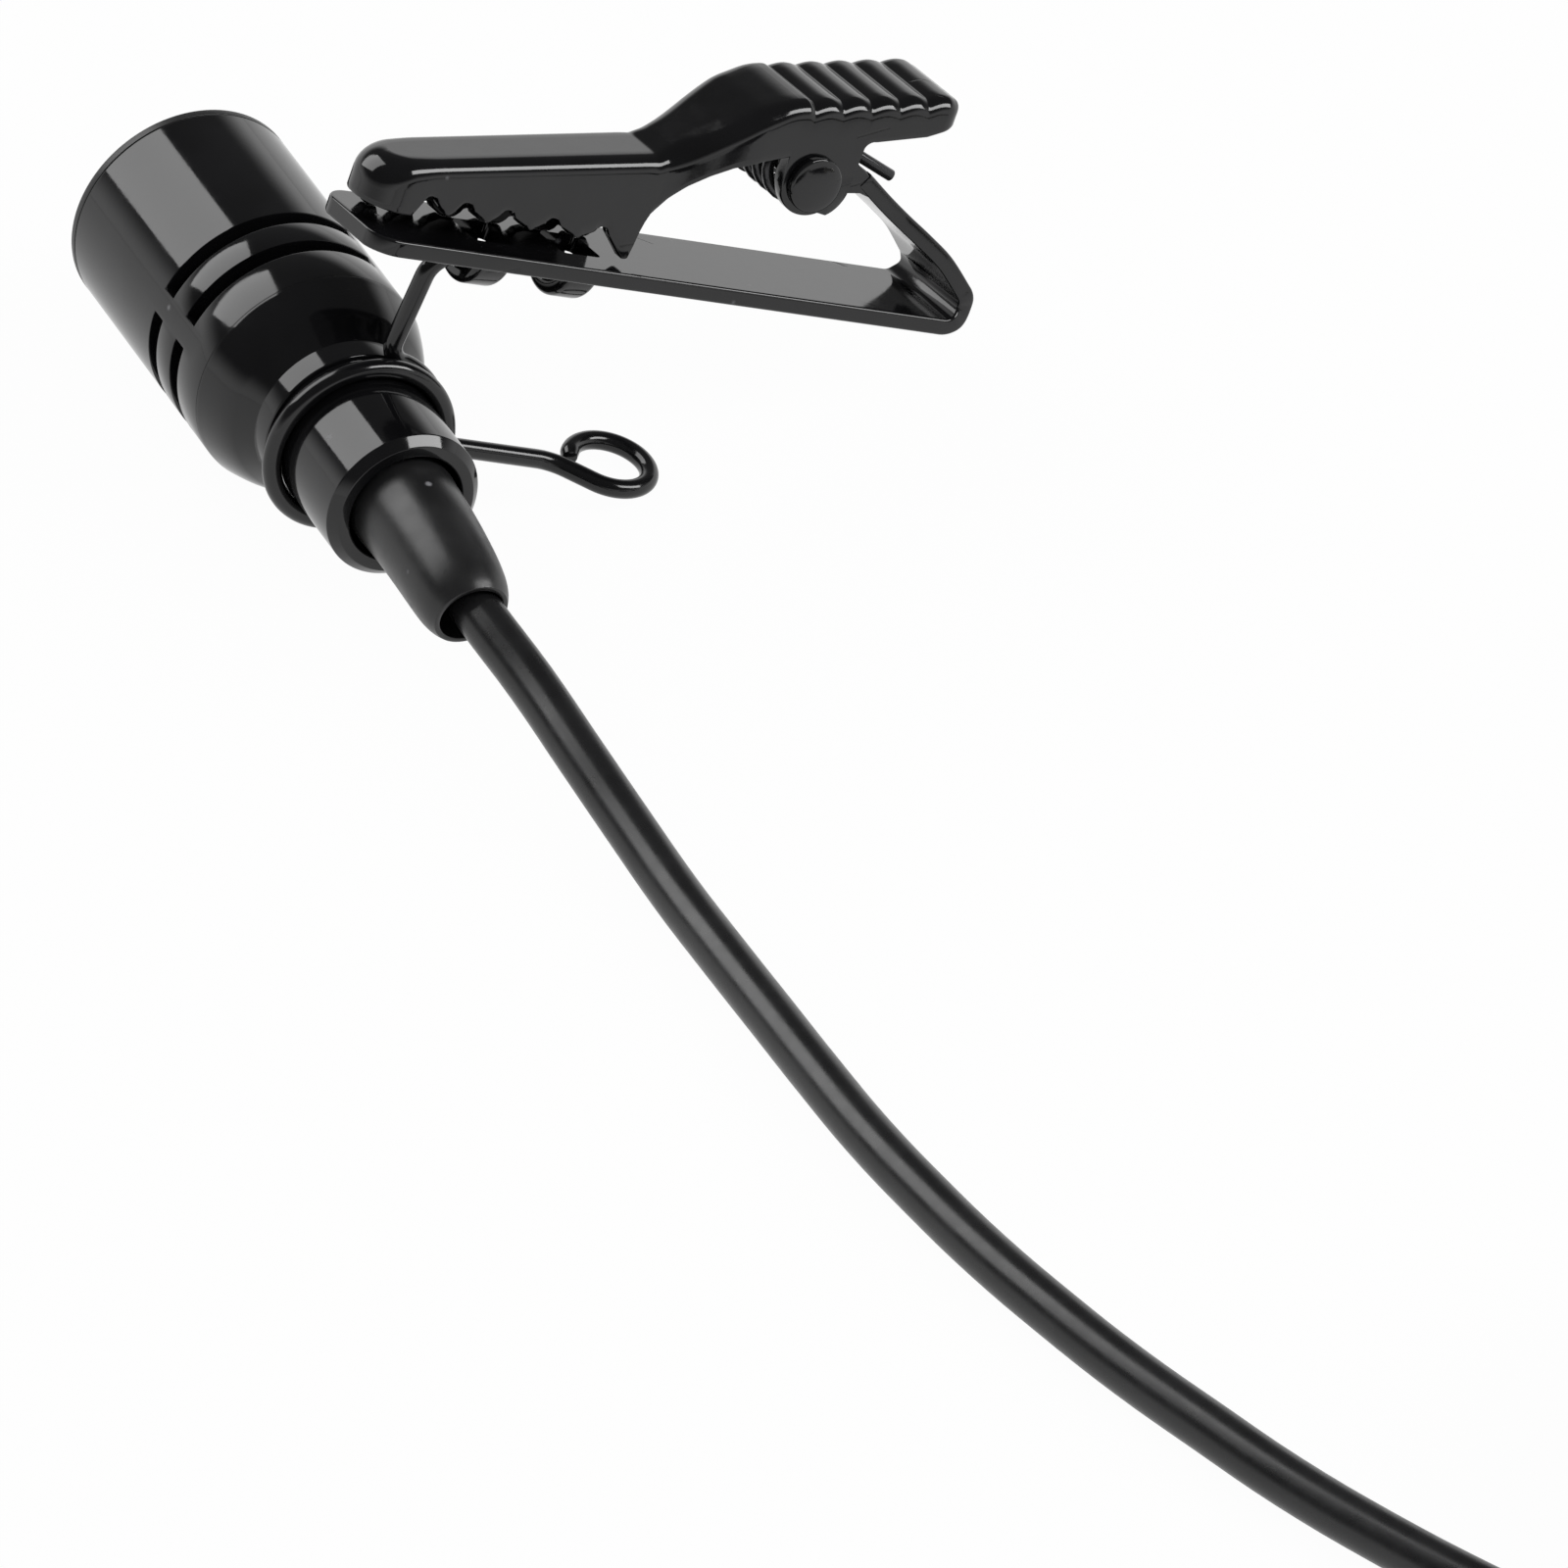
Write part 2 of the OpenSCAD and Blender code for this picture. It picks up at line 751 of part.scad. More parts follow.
lever_start = ring_point(ring_end, ring_last_y);
lever_turn = lever_start + lever_drop * ring_leave;
lever_path = concat(
    [lever_start],
    corner(lever_start, lever_turn, lever_corner, 1.2, 6),
    corner(lever_turn, lever_corner, eye_point(eye_from), 2, 4),
    [for (i = [0:18]) eye_point(eye_from + (eye_to - eye_from) * i / 18)]);

module ring_lever() {
    color("#161617")
        placed()
            swept(lever_path, same(wire_r, lever_path), 10, ring_leave);
}

// ---- Clip ----

// The tail strip's outer line above the rear bend, up to the pivot's lugs
tail_line = [bend_c + bend_r * [cos(tail_to), sin(tail_to)],
    [plate_rear - 2.2, 3.05], [plate_rear - 3.7, 3.95], [plate_rear - 5.1, 4.7],
    [plate_rear - 6.5, 5.5], [plate_rear - 8, 6.45], [plate_rear - 9.1, 7.05]];

function offset_line(line, d) = [for (i = [0:len(line) - 1])
    let (t = unit(line[min(i + 1, len(line) - 1)] - line[max(i - 1, 0)]))
    line[i] + d * [-t.y, t.x]];

function backwards(line) = [for (i = [len(line) - 1:-1:0]) line[i]];

// Side view of the plate, the bend at its rear and the tail strip
module lower_profile() {
    polygon(concat(
        [[plate_front - cut, -plate_t]],
        arc(bend_c, bend_r, -90, tail_to, 7),
        [for (i = [1:len(tail_line) - 1]) tail_line[i]],
        backwards([for (i = [1:len(tail_line) - 1]) offset_line(tail_line, plate_t)[i]]),
        arc(bend_c, bend_r - plate_t, tail_to, -90, 7),
        [[plate_front - cut, 0]]));
}

// Plan of the plate
module lower_plan() {
    h = plate_w / 2;
    front_round = 1.5;
    rear_round = 0.7;
    polygon(concat(
        arc([plate_front + front_round, -h + front_round], front_round, 180, 270, 5),
        arc([plate_rear - rear_round, -h + rear_round], rear_round, -90, 0, 4),
        arc([plate_rear - rear_round, h - rear_round], rear_round, 0, 90, 4),
        arc([plate_front + front_round, h - front_round], front_round, 90, 180, 5)));
}

// What is cut away beside the tail strip, on the side given by the sign
module tail_flank(side) {
    h = plate_w / 2;
    translate([0, 0, bend_c.y + 0.3])
        linear_extrude(2 * pivot_z)
            polygon([for (p = [
                [plate_rear + cut, h - 0.15], [plate_rear - 0.6, h - 0.15],
                [plate_rear - 5.3, lug_out + 0.25], [pivot_x + 2.2, lug_out - 0.06],
                [pivot_x + 2.2, h + cut], [plate_rear + cut, h + cut]])
                [p.x, side * p.y]]);
}

// A lug's outline: a disc round the pin with an arm to the tail strip
module lug_profile() {
    polygon(concat(
        arc([pivot_x, pivot_z], lug_r, 80, 290, 14),
        [[plate_rear - 8.7, 5.1], [plate_rear - 7.5, 5.25], [plate_rear - 7.8, 6.1],
            [plate_rear - 9.2, 7.02]]));
}

module strap(x) {
    end_round = 0.6;
    translate([x - strap_len / 2, 0, strap_z])
        rotate([0, 90, 0])
            revolved(concat(
                [[0, 0]], arc([strap_r - end_round, end_round], end_round, -90, 0, 5),
                arc([strap_r - end_round, strap_len - end_round], end_round, 0, 90, 5), [[0, strap_len]]));
}

module strap_hollow(x) {
    inner = strap_r - strap_wall;
    translate([x - strap_len / 2 - cut, 0, strap_z])
        rotate([0, 90, 0])
            cylinder(h = strap_len + 2 * cut, r = inner);
    translate([x - strap_len, -strap_r - cut, -plate_t / 2])
        cube([2 * strap_len, 2 * strap_r + 2 * cut, 2 * strap_r]);
}

module lower_jaw() {
    notch_x = pivot_x + 3.9;
    window_w = 2 * (strap_r - strap_wall) - 0.2;
    color("#17171a")
        on_clip()
            difference() {
                union() {
                    difference() {
                        intersection() {
                            slab(plate_w + cut)
                                lower_profile();
                            translate([0, 0, -2 * plate_t])
                                linear_extrude(3 * pivot_z)
                                    lower_plan();
                        }
                        tail_flank(1);
                        tail_flank(-1);
                    }
                    slab(2 * lug_out)
                        lug_profile();
                    for (x = strap_xs)
                        difference() {
                            strap(x);
                            strap_hollow(x);
                        }
                }
                for (x = strap_xs)
                    translate([x - window / 2, -window_w / 2, -plate_t - 0.2])
                        cube([window, window_w, 2]);
                translate([pivot_x - 2 * lug_r, -lug_in, 2])
                    cube([notch_x - pivot_x + 2 * lug_r, 2 * lug_in, 2 * pivot_z]);
                translate([pivot_x, 0, pivot_z])
                    rotate([90, 0, 0])
                        cylinder(h = 2 * plate_w, r = pin_r + eps, center = true);
            }
}

// Side view of the upper jaw. The toothed part is measured from the clip's front datum,
// and the rest from the pivot.
jaw_front = -0.95;
jaw_rear = pivot_x + 7.25;
grip_to = pivot_x - 7.95;
jaw_top = concat([[0.3, 3.3], [grip_to - 0.3, 5.65]], from_pivot([
    [-7.2, 0.4], [-5.35, 2.05], [-3.85, 3.15], [-2.85, 3.65]]));
rib_from = -2.2;
rib_rise = 0.165;

function from_pivot(points) = [for (p = points) [pivot_x + p.x, pivot_z + p.y]];

function rib_z(dx) = 3.85 + rib_rise * (dx - rib_from);

// Ribs, each a shallow arc between two grooves
function rib_line() = [for (k = [0:ribs - 1], i = [0:4])
    let (dx = rib_from + rib_pitch * (k + i / 5))
    [dx, rib_z(dx) - rib_h + rib_h * sin(36 * i)]];

function tooth_x(k) = grip_to * (0.2345 + 0.1517 * k + 0.0076 * k * k);
function tooth_z(k) = k == teeth - 1 ? 0.3 : 1.2 - 0.06 * k;

// Teeth from the rear to the front: each tip, then the valley before it
function teeth_line() = [for (k = [teeth - 1:-1:0]) each concat(
    arc([tooth_x(k), tooth_z(k) + 0.32], 0.32, -30, -150, 4),
    arc([tooth_x(k) - grip_to * (0.0931 + 0.0069 * k), 1.95 - 0.07 * k], 0.22, 30, 150, 4))];

module jaw_side() {
    polygon(concat(
        arc([jaw_front + 1.3, 2.02], 1.3, 180, 98, 5),
        jaw_top,
        from_pivot(rib_line()),
        from_pivot([[6.75, rib_z(6.75)], [7.25, rib_z(6.75) - 0.5], [7.25, 3.9],
            [5.45, 3.15], [2.45, 2.55]]),
        arc([pivot_x + 2.45, pivot_z + 1.9], 0.65, 90, 180, 4),
        arc([pivot_x, pivot_z], ear_r, 0, -180, 12),
        from_pivot([[-ear_r, 1.1], [-3.05, 0.7], [-4.55, 0.05], [-6.45, -1.45], [-7.25, -2.3]]),
        [[grip_to, 2.7], [grip_to - 0.2, 2], [grip_to - 0.25, 1.2]],
        teeth_line(),
        [[1.4, 0.95], [0.2, 0.95], [jaw_front + 0.15, 1]]));
}

// Room inside the channel: under the web and behind the front wall
module jaw_room() {
    under = web_t + rib_h;
    polygon(concat(
        [[jaw_front + jaw_t, -cut], [jaw_front + jaw_t, 2.2]],
        [for (p = jaw_top) p - [0, web_t]],
        from_pivot([[rib_from, rib_z(rib_from) - under], [7.25 - jaw_t, rib_z(7.25 - jaw_t) - under]]),
        [[jaw_rear - jaw_t, -cut]]));
}

module jaw_plan(inset) {
    f = jaw_w / 2 - inset;
    r = pad_w / 2 - inset;
    round_f = 1.9 - inset;
    round_r = 0.9 - inset * 0.9;
    front = jaw_front + inset;
    rear = jaw_rear - inset;
    narrow = grip_to - 0.1;
    wide = pivot_x - 3.5;
    polygon(concat(
        arc([front + round_f, -f + round_f], round_f, 180, 270, 6), [[narrow, -f], [wide, -r]],
        arc([rear - round_r, -r + round_r], round_r, -90, 0, 5),
        arc([rear - round_r, r - round_r], round_r, 0, 90, 5), [[wide, r], [narrow, f]],
        arc([front + round_f, f - round_f], round_f, 90, 180, 6)));
}

module upper_jaw() {
    high = 2 * pivot_z;
    color("#141416")
        on_clip()
            difference() {
                intersection() {
                    slab(pad_w + cut)
                        jaw_side();
                    translate([0, 0, -cut])
                        linear_extrude(high + 2 * cut)
                            jaw_plan(0);
                }
                intersection() {
                    slab(pad_w)
                        jaw_room();
                    translate([0, 0, -2 * cut])
                        linear_extrude(high + 4 * cut)
                            jaw_plan(jaw_t);
                }
                translate([pivot_x, 0, pivot_z])
                    rotate([90, 0, 0])
                        cylinder(h = 2 * pad_w, r = pin_r + run_fit, center = true);
            }
}

module pivot_pin() {
    reach = pad_w / 2 + run_fit;
    head_r2 = pin_head_d / 2;
    color("#101011")
        on_clip()
            translate([pivot_x, 0, pivot_z])
                rotate([90, 0, 0])
                    revolved(concat(
                        [[0, -reach - head_h]],
                        [for (i = [1:6]) let (w = 15 * i)
                            [head_r2 * sin(w), -reach - head_h * cos(w)]],
                        [[pin_r, -reach], [pin_r, reach]],
                        [for (i = [6:-1:1]) let (w = 15 * i)
                            [head_r2 * sin(w), reach + head_h * cos(w)]],
                        [[0, reach + head_h]]));
}

// The spring's coil turns about the pin, from the pad's leg to the tail's leg
spring_from = -30;
spring_to = 82 - 1080;
spring_turns = (spring_from - spring_to) / 360;
spring_steps = floor(8 * spring_turns);

function spring_point(w, y) = [pivot_x + spring_r * cos(w), y, pivot_z + spring_r * sin(w)];

function spring_heading(w) = [sin(w), 0, -cos(w)];

spring_coil = [for (i = [0:spring_steps]) let (t = i / spring_steps)
    spring_point(spring_from + (spring_to - spring_from) * t, spring_pitch * spring_turns * (t - 0.5))];
pad_leg = spring_coil[0] - 4.6 * spring_heading(spring_from);
leg_knee = spring_coil[spring_steps] + [4.35, -0.6, -0.88];
leg_tip = leg_knee + [2.2, -0.4, -0.72];
spring_path = concat([pad_leg], spring_coil,
    corner(spring_coil[spring_steps], leg_knee, leg_tip, 2.5, 3), [leg_tip]);

module torsion_spring() {
    color("#8a8a8c")
        on_clip()
            swept(spring_path, same(spring_wr, spring_path), 6);
}

// ---- Cable, coil and plug ----

cable_path = concat([boot_in], cable_route, [coil_in]);

module cable() {
    color("#1b1b1c")
        placed()
            swept(cable_path, same(cable_r, cable_path), 8, tail_tip, coil_tangent(coil_from));
}

function coil_tangent(w) = [-sin(w), cos(w), 0];

function lead_in_point(w, z, side) = [
    coil_c.x + coil_outer * cos(w) + side * lead_out * -sin(w),
    coil_c.y + coil_outer * sin(w) + side * lead_out * cos(w), z];

// The coil spirals in and out again, a layer for each way, and climbs where it turns back
function coil_point(u) =
    let (layer = min(floor(u / layer_turns), coil_layers - 1), v = u - layer * layer_turns,
        inward = layer % 2 == 0, r = inward ? coil_outer - coil_step * v : coil_inner + coil_step * v,
        before = layer > 0 && v < 0.25 ? 0.5 - 2 * v : 0,
        after = layer < coil_layers - 1 && v > layer_turns - 0.25 ? 2 * (v - layer_turns) + 0.5 : 0,
        w = coil_from + 360 * u)
    [coil_c.x + r * cos(w), coil_c.y + r * sin(w),
        coil_z + coil_step * (layer + ease(after) - ease(before))];

function ease(t) = t * t * (3 - 2 * t);

coil_line = [for (i = [0:round(coil_turns * coil_rings)])
    coil_point(i * coil_turns / round(coil_turns * coil_rings))];
coil_path = concat([coil_in], coil_line, [coil_out]);

module cable_coil() {
    color("#1b1b1c")
        placed()
            swept(coil_path, same(cable_r, coil_path), coil_sides, coil_tangent(coil_from),
                coil_tangent(coil_to));
}

echo(coil_gap = least_gap(coil_line, 12) - cable_d);
echo(spring_gap = least_gap(spring_coil, 6) - spring_d);
echo(cable_length = add_up([for (i = [1:len(cable_path) - 1]) norm(cable_path[i] - cable_path[i - 1])])
    + add_up([for (i = [1:len(coil_path) - 1]) norm(coil_path[i] - coil_path[i - 1])]) + end_run);

module coil_tie() {
    room = 0.05;
    low = coil_inner - cable_r - room;
    high = coil_outer + cable_r + room;
    tall = coil_rise + cable_d + 2 * room;
    color("#151515")
        placed()
            translate([coil_c.x, coil_c.y, coil_z - cable_r - room])
                rotate([0, 0, 100])
                    slab(tie_w)
                        difference() {
                            translate([low - tie_t, -tie_t + room])
                                square([high - low + 2 * tie_t, tall + 2 * tie_t - room]);
                            translate([low, 0])
                                square([high - low, tall]);
                        }
}

end_path = [for (i = [0:8]) let (t = i / 8)
    [plug_x, coil_out.y + end_run * t, shell_r + (coil_out.z - shell_r) * (1 + cos(180 * t)) / 2]];

module cable_end() {
    path = concat(end_path, [[plug_x, plug_y + shell_a + 2, shell_r]]);
    color("#1b1b1c")
        placed()
            swept(path, same(cable_r, path), 8, [0, 1, 0], [0, 1, 0]);
}

module plug_boot() {
    hole = cable_r + slip;
    color("#1d1d1f")
        on_plug()
            revolved([
                [hole, 0], [hole + 0.7, 0], [hole + 1.3, plug_boot_len], [shell_r - 0.9, plug_boot_len],
                [shell_r - 0.9, plug_boot_len + 1.5], [hole, plug_boot_len + 1.5]]);
}

module plug_shell() {
    wall = 0.8;
    edge = 0.4;
    opening = face_r + slip;
    color("#1d1d1f")
        on_plug()
            revolved([
                [shell_r - 0.9 + slip, shell_a], [shell_r - edge, shell_a], [shell_r, shell_a + edge],
                [shell_r, jack_a - edge], [shell_r - edge, jack_a], [opening, jack_a],
                [opening, jack_a - 1], [shell_r - wall, jack_a - 1],
                [shell_r - wall, shell_a + 1.5], [shell_r - 0.9 + slip, shell_a + 1.5]]);
}

module plug_sleeve() {
    collar = shell_r - 0.8 - slip;
    color("#c9b36a")
        on_plug()
            revolved([
                [tube_r + slip, jack_a - jack_root], [collar, jack_a - jack_root],
                [collar, jack_a - 1 - slip], [face_r, jack_a - 1 - slip], [face_r, jack_a],
                [jack_r - jack_neck, jack_a], [jack_r - jack_neck, jack_a + jack_relief],
                [jack_r, jack_a + jack_relief], [jack_r, jack_a + sleeve_part],
                [tube_r + slip, jack_a + sleeve_part]]);
}

module plug_insulators() {
    first = jack_a + sleeve_part;
    second = first + band + ring_part;
    color("#1a1a1a")
        on_plug()
            difference() {
                union() {
                    disc(tube_r, jack_a - jack_root, second + band);
                    disc(jack_r, first, first + band);
                    disc(jack_r, second, second + band);
                }
                disc(core_r + slip, jack_a - jack_root - cut, second + band + cut);
            }
}

module plug_ring() {
    from = jack_a + sleeve_part + band;
    color("#c9b36a")
        on_plug()
            tube(jack_r, tube_r + slip, from, from + ring_part);
}

module plug_tip() {
    base = jack_a + sleeve_part + 2 * band + ring_part;
    tip = jack_a + jack_len;
    color("#c9b36a")
        on_plug()
            revolved([
                [0, jack_a - jack_root], [core_r, jack_a - jack_root], [core_r, base], [jack_r, base],
                [jack_r - 0.45, base + 1.1], [jack_r, tip - 2.1], [jack_r - 0.5, tip - 0.7],
                [jack_r - 1.1, tip - 0.15], [0, tip]]);
}

housing();
front_bezel();
front_mesh();
foam_disc();
slot_cloth();
capsule_seat();
capsule_can();
capsule_felt();
diaphragm_ring();
diaphragm();
spacer_ring();
backplate();
backplate_holder();
contact_ring();
capsule_board();
transistor();
solder_pads();
rear_body();
signal_lead();
shield_lead();
crimp_ferrule();
cable_tail();
boot();
mount_wire();
ring_coil();
ring_lever();
lower_jaw();
upper_jaw();
pivot_pin();
torsion_spring();
cable();
cable_coil();
coil_tie();
cable_end();
plug_boot();
plug_shell();
plug_sleeve();
plug_insulators();
plug_ring();
plug_tip();
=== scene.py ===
"""Lavalier microphone in a wire-ring tie clip: its surfaces, its free cable, the studio and the view."""

import logging
from dataclasses import dataclass
from enum import Enum
from math import acos, asin, atan2, cos, degrees, exp, hypot, pi, radians, sin, sqrt, tan
from typing import Sequence

import bmesh
import bpy
from mathutils import Matrix, Vector


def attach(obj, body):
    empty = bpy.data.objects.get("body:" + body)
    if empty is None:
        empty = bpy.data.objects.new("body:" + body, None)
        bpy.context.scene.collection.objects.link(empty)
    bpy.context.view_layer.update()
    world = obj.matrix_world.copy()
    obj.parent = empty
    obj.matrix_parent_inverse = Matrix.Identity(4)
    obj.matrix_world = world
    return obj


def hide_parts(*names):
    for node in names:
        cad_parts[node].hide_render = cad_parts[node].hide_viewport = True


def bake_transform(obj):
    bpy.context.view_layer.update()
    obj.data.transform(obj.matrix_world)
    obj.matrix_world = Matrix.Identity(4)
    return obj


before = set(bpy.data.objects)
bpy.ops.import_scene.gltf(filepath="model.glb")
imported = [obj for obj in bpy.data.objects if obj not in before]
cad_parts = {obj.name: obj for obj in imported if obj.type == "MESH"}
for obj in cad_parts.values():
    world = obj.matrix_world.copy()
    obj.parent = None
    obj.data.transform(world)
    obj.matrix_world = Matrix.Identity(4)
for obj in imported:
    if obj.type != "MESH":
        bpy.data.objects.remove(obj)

LOG = logging.getLogger("lavalier")
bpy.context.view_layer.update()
Line = Sequence[Sequence[float]]
Object = bpy.types.Object
Socket = bpy.types.NodeSocket

MM = 0.001
AXIS_Z = 6.0  # the microphone's axis over the table
RING_Y = 6.45  # where the mount's leg meets the ring, along the microphone
LEG_LEAN = 25.64  # how far the mount and the clip lean over, in degrees
PIVOT = (22.45, 5.9)  # the hinge pin in the clip's x and z
PAD_HALF = 2.9  # half the thumb pad's width
PLUG_AT = (56.0368, -68.3116, 3.6)

# The smallest gap that two points keep, and the shortest edge, in millimetres
MERGE, SHORTEST = 0.0005, 0.0002
# The angle from which an edge gets a bevel, in degrees
BEVEL_FROM = 40.0
# Rounded corners: the most of a side that one may take, and the half angles between which there is one
SIDE_SHARE, SHARPEST, FLATTEST = 0.49, 0.02, 1.555


def shift(*offset: float) -> Matrix:
    """A move."""
    return Matrix.Translation(offset)


def turn(angle: float, axis: str) -> Matrix:
    """A turn about an axis, by an angle in degrees."""
    return Matrix.Rotation(radians(angle), 4, axis)


# Local spaces of the sub-assemblies, from millimetres to the shared frame
TABLE = Matrix.Scale(MM, 4) @ shift(-13.197, -9.2, 0.0)
MIC = TABLE @ shift(0, 0, AXIS_Z) @ turn(-90, "X")
LEG = TABLE @ shift(0, RING_Y, AXIS_Z) @ turn(LEG_LEAN, "Y")
CLIP = TABLE @ shift(0.321459, RING_Y, 17.67) @ turn(LEG_LEAN, "Y") @ turn(-8.64, "X") @ shift(0, 0, 1.355)
PLUG = TABLE @ shift(*PLUG_AT) @ turn(-90, "X")


# ---- Shapes ----


def spread(start: float, end: float, steps: int) -> list[float]:
    """Evenly spaced numbers from start to end, with a number of gaps between them."""
    return [start + (end - start) * i / steps for i in range(steps + 1)]


def ray(angle: float) -> Vector:
    """The flat unit vector at an angle in degrees."""
    return Vector((cos(radians(angle)), sin(radians(angle))))


def arc(centre: Sequence[float], radius: float, start: float, end: float, steps: int) -> list[Vector]:
    """Points of a flat arc between two angles, in degrees."""
    return [Vector(centre) + radius * ray(w) for w in spread(start, end, steps)]


def around(count: int) -> list[float]:
    """Angles all the way round, in radians."""
    return [2 * pi * i / count for i in range(count)]


def circle(centre: Vector, radius: float, u: Vector, v: Vector, angles: Sequence[float]) -> list[Vector]:
    """Points of a circle in the plane of u and v, at angles in radians."""
    return [centre + radius * (cos(w) * u + sin(w) * v) for w in angles]


def oblong(left: float, low: float, right: float, high: float) -> list[tuple[float, float]]:
    """The corners of a rectangle."""
    return [(left, low), (right, low), (right, high), (left, high)]


def upright(line: Line, y: float = 0.0) -> list[Vector]:
    """Flat points stood up in local x and z, at one y."""
    return [Vector((p[0], y, p[1])) for p in line]


def stood(at: Vector, up: Vector, section: Line) -> list[Vector]:
    """A section stood on a flat line in x and z: its x runs across the line and its y along up."""
    return [Vector((at.x + up.x * q[1], q[0], at.y + up.y * q[1])) for q in section]


def wave(t: float) -> float:
    """Half a cosine wave, from 0 to 1."""
    return (1 - cos(pi * t)) / 2


def fillet(before: Vector, corner: Vector, after: Vector, radius: float, steps: int) -> list[Vector]:
    """Rounds one corner of a line.

    Args:
        before: The point before the corner.
        corner: The corner.
        after: The point after it.
        radius: The radius, cut down where the sides are too short for it.
        steps: The number of chords.

    Returns:
        The points that take the corner's place.
    """
    a, b = before - corner, after - corner
    u, v = a.normalized(), b.normalized()
    half = acos(max(-1.0, min(1.0, u.dot(v)))) / 2
    if not SHARPEST <= half <= FLATTEST or radius <= 0:
        return [corner]
    reach = min(radius / tan(half), SIDE_SHARE * min(a.length, b.length))
    radius = reach * tan(half)
    mid = corner + (u + v).normalized() * radius / sin(half)
    first, last = corner + u * reach - mid, corner + v * reach - mid
    full = pi - 2 * half
    return [mid + (first * sin(full - w) + last * sin(w)) / sin(full) for w in spread(0, full, steps)]


def softened(line: Line, radius: float, steps: int = 4, closed: bool = True) -> list[Vector]:
    """Rounds the corners of an outline.

    Args:
        line: The outline's corners; a third number gives that corner its own radius.
        radius: The radius of the other corners.
        steps: Chords in each rounding.
        closed: Whether the last corner joins the first.

    Returns:
        The rounded outline.
    """
    flat = [Vector(p[:2]) for p in line]
    count = len(flat)
    result: list[Vector] = []
    for i, (p, given) in enumerate(zip(flat, line)):
        if not closed and i in (0, count - 1):
            result.append(p)
            continue
        own = given[2] if len(given) > 2 else radius
        result += fillet(flat[i - 1], p, flat[(i + 1) % count], own, steps)
    return result


def value_at(line: Line, x: float, smooth: bool = False) -> float:
    """Reads the height of a broken line.

    Args:
        line: Its corners, in the order of their first number.
        x: The place.
        smooth: Whether each part eases from one corner to the next.

    Returns:
        The height there.
    """
    if x <= line[0][0]:
        return line[0][1]
    for a, b in zip(line, line[1:]):
        if x <= b[0]:
            t = (x - a[0]) / max(b[0] - a[0], 1e-9)
            return a[1] + (b[1] - a[1]) * (t * t * (3 - 2 * t) if smooth else t)
    return line[-1][1]


def through(points: Sequence[Vector], steps: int) -> list[Vector]:
    """A smooth line through points.

    Args:
        points: The points.
        steps: Chords from one point to the next.

    Returns:
        The line's points.
    """
    result, last = [], len(points) - 1
    for i in range(last):
        a, b, c, d = (points[max(0, min(last, i + k))] for k in (-1, 0, 1, 2))
        for t in spread(0, 1, steps)[:-1]:
            bend = (2 * a - 5 * b + 4 * c - d) * t * t + (3 * b - a - 3 * c + d) * t**3
            result.append(0.5 * ((2 * b) + (c - a) * t + bend))
    return result + [points[-1]]


def between(a: Vector, b: Vector, steps: int) -> list[Vector]:
    """Points on the straight line from a to b."""
    return [a.lerp(b, t) for t in spread(0, 1, steps)]


class Shape:
    """Points and faces that are gathered before they become a mesh."""

    def __init__(self) -> None:
        """Starts with nothing."""
        self.points: list[Vector] = []
        self.faces: list[tuple[int, ...]] = []

    def sheet(self, rows: Sequence[Sequence[Vector]], ring: bool = False, loop: bool = False) -> "Shape":
        """Joins rows of points with faces.

        Args:
            rows: Rows that all have the same number of points.
            ring: Whether the last row joins the first.
            loop: Whether each row's last point joins its first.

        Returns:
            The shape itself.
        """
        base, wide, tall = len(self.points), len(rows[0]), len(rows)
        for row in rows:
            self.points += row
        for i in range(tall if ring else tall - 1):
            for j in range(wide if loop else wide - 1):
                a, b = base + i * wide, base + (i + 1) % tall * wide
                k = (j + 1) % wide
                self.faces.append((a + j, a + k, b + k, b + j))
        return self

    @classmethod
    def closed(cls, rows: Sequence[Sequence[Vector]]) -> "Shape":
        """Joins closed sections, and closes both ends with a flat face.

        Args:
            rows: The sections.

        Returns:
            The closed shape.
        """
        made = cls().sheet(rows, loop=True)
        for end in (rows[0][::-1], rows[-1]):
            made.faces.append(tuple(range(len(made.points), len(made.points) + len(end))))
            made.points += end
        return made


def lathe(outline: Line, steps: int) -> Shape:
    """Turns a closed outline of radius and height about the local Z axis."""
    rows = [[Vector((p[0] * cos(w), p[0] * sin(w), p[1])) for p in outline] for w in around(steps)]
    return Shape().sheet(rows, ring=True, loop=True)


def headings(path: Sequence[Vector]) -> list[Vector]:
    """Unit directions along a path, one for each of its points."""
    last = len(path) - 1
    return [(path[min(i + 1, last)] - path[max(i - 1, 0)]).normalized() for i in range(last + 1)]


def tube(path: Sequence[Vector], radii: Sequence[float], sides: int) -> Shape:
    """A round tube that turns as little as it can along its path.

    Args:
        path: The points of its centre line.
        radii: Its radius at each point.
        sides: The number of faces round it.

    Returns:
        The tube.
    """
    along = headings(path)
    side = Vector((0, 0, 1)) if abs(along[0].z) < 0.9 else Vector((0, 1, 0))
    rows = []
    for p, d, r in zip(path, along, radii):
        side = (side - side.dot(d) * d).normalized()
        rows.append(circle(p, r, side, d.cross(side), around(sides)))
    return Shape.closed(rows)


def prism(outline: Line, low: float, high: float) -> Shape:
    """A flat plate in local x and z, from one y to another."""
    return Shape.closed([upright(outline, low), upright(outline, high)])


# ---- Finishes ----


